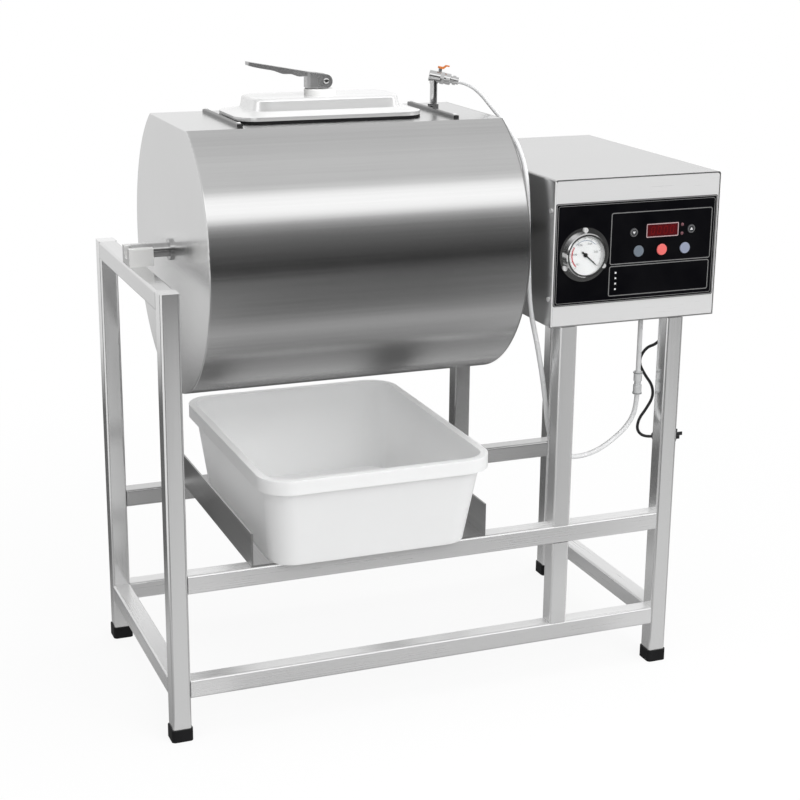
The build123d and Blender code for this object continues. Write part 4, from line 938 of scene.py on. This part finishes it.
def set_floor():
    """Wide white floor: nearly its own white to the eye, with a soft shadow, and banded in metal.

    Metal shows it dim about the machine and before it, bright far behind it, and brighter on the strips.
    """
    side = 9.0
    mesh = bpy.data.meshes.new("floor")
    corners = [(-side, -side, 0), (side, -side, 0), (side, side, 0), (-side, side, 0)]
    mesh.from_pydata(corners, [], [(0, 1, 2, 3)])
    material = bpy.data.materials.new("floor_white")
    material.use_nodes = True
    tree = material.node_tree
    tree.nodes.clear()
    link = tree.links.new
    path = add(tree, "ShaderNodeLightPath")
    place = add(tree, "ShaderNodeTexCoord")
    bounce = add(tree, "ShaderNodeMix", data_type="RGBA")
    bounce.inputs["A"].default_value = grey(FLOOR_WHITE)
    bounce.inputs["B"].default_value = grey(FLOOR_BOUNCE)
    matt = add(tree, "ShaderNodeBsdfDiffuse")
    glow = add(tree, "ShaderNodeEmission")
    seen = add(tree, "ShaderNodeMath", operation="MAXIMUM")
    share = add(tree, "ShaderNodeMath", operation="MULTIPLY")
    away = add(tree, "ShaderNodeVectorMath", operation="LENGTH")
    whiter = eased(tree, away.outputs["Value"], FLOOR_FADE, FLOOR_PLAIN_FAR, FLOOR_PLAIN_NEAR)
    plain = add(tree, "ShaderNodeMixShader")
    link(path.outputs["Is Diffuse Ray"], bounce.inputs["Factor"])
    link(bounce.outputs["Result"], matt.inputs["Color"])
    link(path.outputs["Is Camera Ray"], seen.inputs[0])
    link(path.outputs["Is Transmission Ray"], seen.inputs[1])
    link(seen.outputs[0], share.inputs[0])
    link(place.outputs["Object"], away.inputs[0])
    link(whiter, share.inputs[1])
    link(share.outputs[0], plain.inputs["Fac"])
    link(matt.outputs[0], plain.inputs[1])
    link(glow.outputs[0], plain.inputs[2])
    parts = add(tree, "ShaderNodeSeparateXYZ")
    depth = add(tree, "ShaderNodeMapRange")
    depth.inputs["From Min"].default_value = FLOOR_IN_METAL[0][0]
    depth.inputs["From Max"].default_value = FLOOR_IN_METAL[-1][0]
    bands = tone_ramp(tree, FLOOR_IN_METAL, FLOOR_IN_METAL[0][0], FLOOR_IN_METAL[-1][0], 1.0)
    mirrored = add(tree, "ShaderNodeEmission")
    both = add(tree, "ShaderNodeMixShader")
    out = add(tree, "ShaderNodeOutputMaterial")
    link(place.outputs["Object"], parts.inputs[0])
    link(parts.outputs["Y"], depth.inputs["Value"])
    link(depth.outputs["Result"], bands.inputs["Fac"])
    level = bands.outputs["Color"]
    for slant, from_left, from_right, from_front, from_back, top in FLOOR_STRIPS:
        across = add(tree, "ShaderNodeMath", operation="MULTIPLY_ADD")
        across.inputs[1].default_value = slant
        link(parts.outputs["Y"], across.inputs[0])
        link(parts.outputs["X"], across.inputs[2])
        strip = eased(tree, across.outputs[0], from_left, top)
        for value, span in (
            (across.outputs[0], from_right),
            (parts.outputs["Y"], from_front),
            (parts.outputs["Y"], from_back),
        ):
            within = add(tree, "ShaderNodeMath", operation="MULTIPLY")
            link(strip, within.inputs[0])
            link(eased(tree, value, span, 1.0), within.inputs[1])
            strip = within.outputs[0]
        brighter = add(tree, "ShaderNodeMath", operation="MAXIMUM")
        link(level, brighter.inputs[0])
        link(strip, brighter.inputs[1])
        level = brighter.outputs[0]
    link(level, mirrored.inputs["Strength"])
    link(path.outputs["Is Glossy Ray"], both.inputs["Fac"])
    link(plain.outputs[0], both.inputs[1])
    link(mirrored.outputs[0], both.inputs[2])
    link(both.outputs[0], out.inputs["Surface"])
    mesh.materials.append(material)
    floor = bpy.data.objects.new("floor", mesh)
    bpy.context.scene.collection.objects.link(floor)


# Brightness of the studio in metal by angle round the drum's axis: 0 front, 90 overhead, 180 back
STUDIO = (
    (-180, 0.95),
    (-152, 0.80),
    (-126, 0.46),
    (-105, 0.34),
    (-90, 0.28),
    (-78, 0.36),
    (-67, 0.46),
    (-58, 0.27),
    (-46, 0.19),
    (-30, 0.17),
    (-20, 0.13),
    (-12, 0.05),
    (-4, 0.048),
    (3, 0.095),
    (10, 0.125),
    (18, 0.19),
    (26, 0.40),
    (31, 1.25),
    (35, 1.40),
    (48, 1.40),
    (52, 0.78),
    (58, 0.72),
    (75, 0.74),
    (100, 0.64),
    (118, 0.70),
    (140, 0.85),
    (165, 0.95),
    (180, 0.95),
)

# Soft light of the sky on matt surfaces: its level, and how it grows to the right, the front and above
SKY_LEVEL = 0.60
SKY_LEAN = (0.34, -0.50, 0.22)

# Soft lamps: name, place, the point they face, width and height in metres, and watts
LAMPS = (
    ("front_panel", (0.9, -3.0, 1.9), (0.0, 0.0, 0.5), (2.6, 1.8), 54.0),
    ("top_panel", (0.0, -0.2, 3.4), (0.0, -0.1, 0.5), (2.6, 2.2), 30.0),
)


def light_studio():
    """White backdrop for the eye, a long strip light along the drum for metal, soft light for the rest."""
    scene = bpy.context.scene
    scene.view_settings.view_transform = "Standard"
    world = bpy.data.worlds.new("studio")
    scene.world = world
    world.use_nodes = True
    tree = world.node_tree
    tree.nodes.clear()
    link = tree.links.new
    way = add(tree, "ShaderNodeTexCoord")
    parts = add(tree, "ShaderNodeSeparateXYZ")
    front = add(tree, "ShaderNodeMath", operation="MULTIPLY")
    front.inputs[1].default_value = -1.0
    angle = add(tree, "ShaderNodeMath", operation="ARCTAN2")
    share = add(tree, "ShaderNodeMapRange")
    share.inputs["From Min"].default_value = -math.pi
    share.inputs["From Max"].default_value = math.pi
    top = max(level for _, level in STUDIO)
    ramp = tone_ramp(tree, STUDIO, -180, 180, top)
    strip = add(tree, "ShaderNodeBackground")
    strip.inputs["Strength"].default_value = top
    white = add(tree, "ShaderNodeBackground")
    white.inputs["Color"].default_value = grey(1.0)
    soft = add(tree, "ShaderNodeBackground")
    soft.inputs["Color"].default_value = grey(1.0)
    towards = add(tree, "ShaderNodeVectorMath", operation="DOT_PRODUCT")
    towards.inputs[1].default_value = SKY_LEAN
    ambient = add(tree, "ShaderNodeMath", operation="ADD", use_clamp=True)
    ambient.inputs[1].default_value = SKY_LEVEL
    path = add(tree, "ShaderNodeLightPath")
    first = add(tree, "ShaderNodeMixShader")
    second = add(tree, "ShaderNodeMixShader")
    out = add(tree, "ShaderNodeOutputWorld")
    link(way.outputs["Generated"], towards.inputs[0])
    link(towards.outputs["Value"], ambient.inputs[0])
    link(ambient.outputs[0], soft.inputs["Strength"])
    link(way.outputs["Generated"], parts.inputs[0])
    link(parts.outputs["Y"], front.inputs[0])
    link(parts.outputs["Z"], angle.inputs[0])
    link(front.outputs[0], angle.inputs[1])
    link(angle.outputs[0], share.inputs["Value"])
    link(share.outputs["Result"], ramp.inputs["Fac"])
    link(ramp.outputs["Color"], strip.inputs["Color"])
    link(path.outputs["Is Glossy Ray"], first.inputs["Fac"])
    link(soft.outputs[0], first.inputs[1])
    link(strip.outputs[0], first.inputs[2])
    clear_view = add(tree, "ShaderNodeMath", operation="MAXIMUM")
    link(path.outputs["Is Camera Ray"], clear_view.inputs[0])
    link(path.outputs["Is Transmission Ray"], clear_view.inputs[1])
    link(clear_view.outputs[0], second.inputs["Fac"])
    link(first.outputs[0], second.inputs[1])
    link(white.outputs[0], second.inputs[2])
    link(second.outputs[0], out.inputs["Surface"])
    for name, place, aim, size, energy in LAMPS:
        lamp = bpy.data.lights.new(name, "AREA")
        lamp.shape = "RECTANGLE"
        lamp.size, lamp.size_y = size
        lamp.energy = energy
        panel = bpy.data.objects.new(name, lamp)
        bpy.context.scene.collection.objects.link(panel)
        panel.visible_camera = False
        panel.visible_glossy = False
        away = np.array(place) - np.array(aim)
        turn_z = math.atan2(away[0], -away[1])
        tilt = math.atan2(math.hypot(away[0], away[1]), away[2])
        panel.matrix_world = (
            Matrix.Translation(place) @ Matrix.Rotation(turn_z, 4, "Z") @ Matrix.Rotation(tilt, 4, "X")
        )


look_from_front_left()
set_floor()
light_studio()
lay_hose_and_cord()
dress_solids()
print_dial()
print_panel()
show_figures()
mark_keys()
fit_trim()
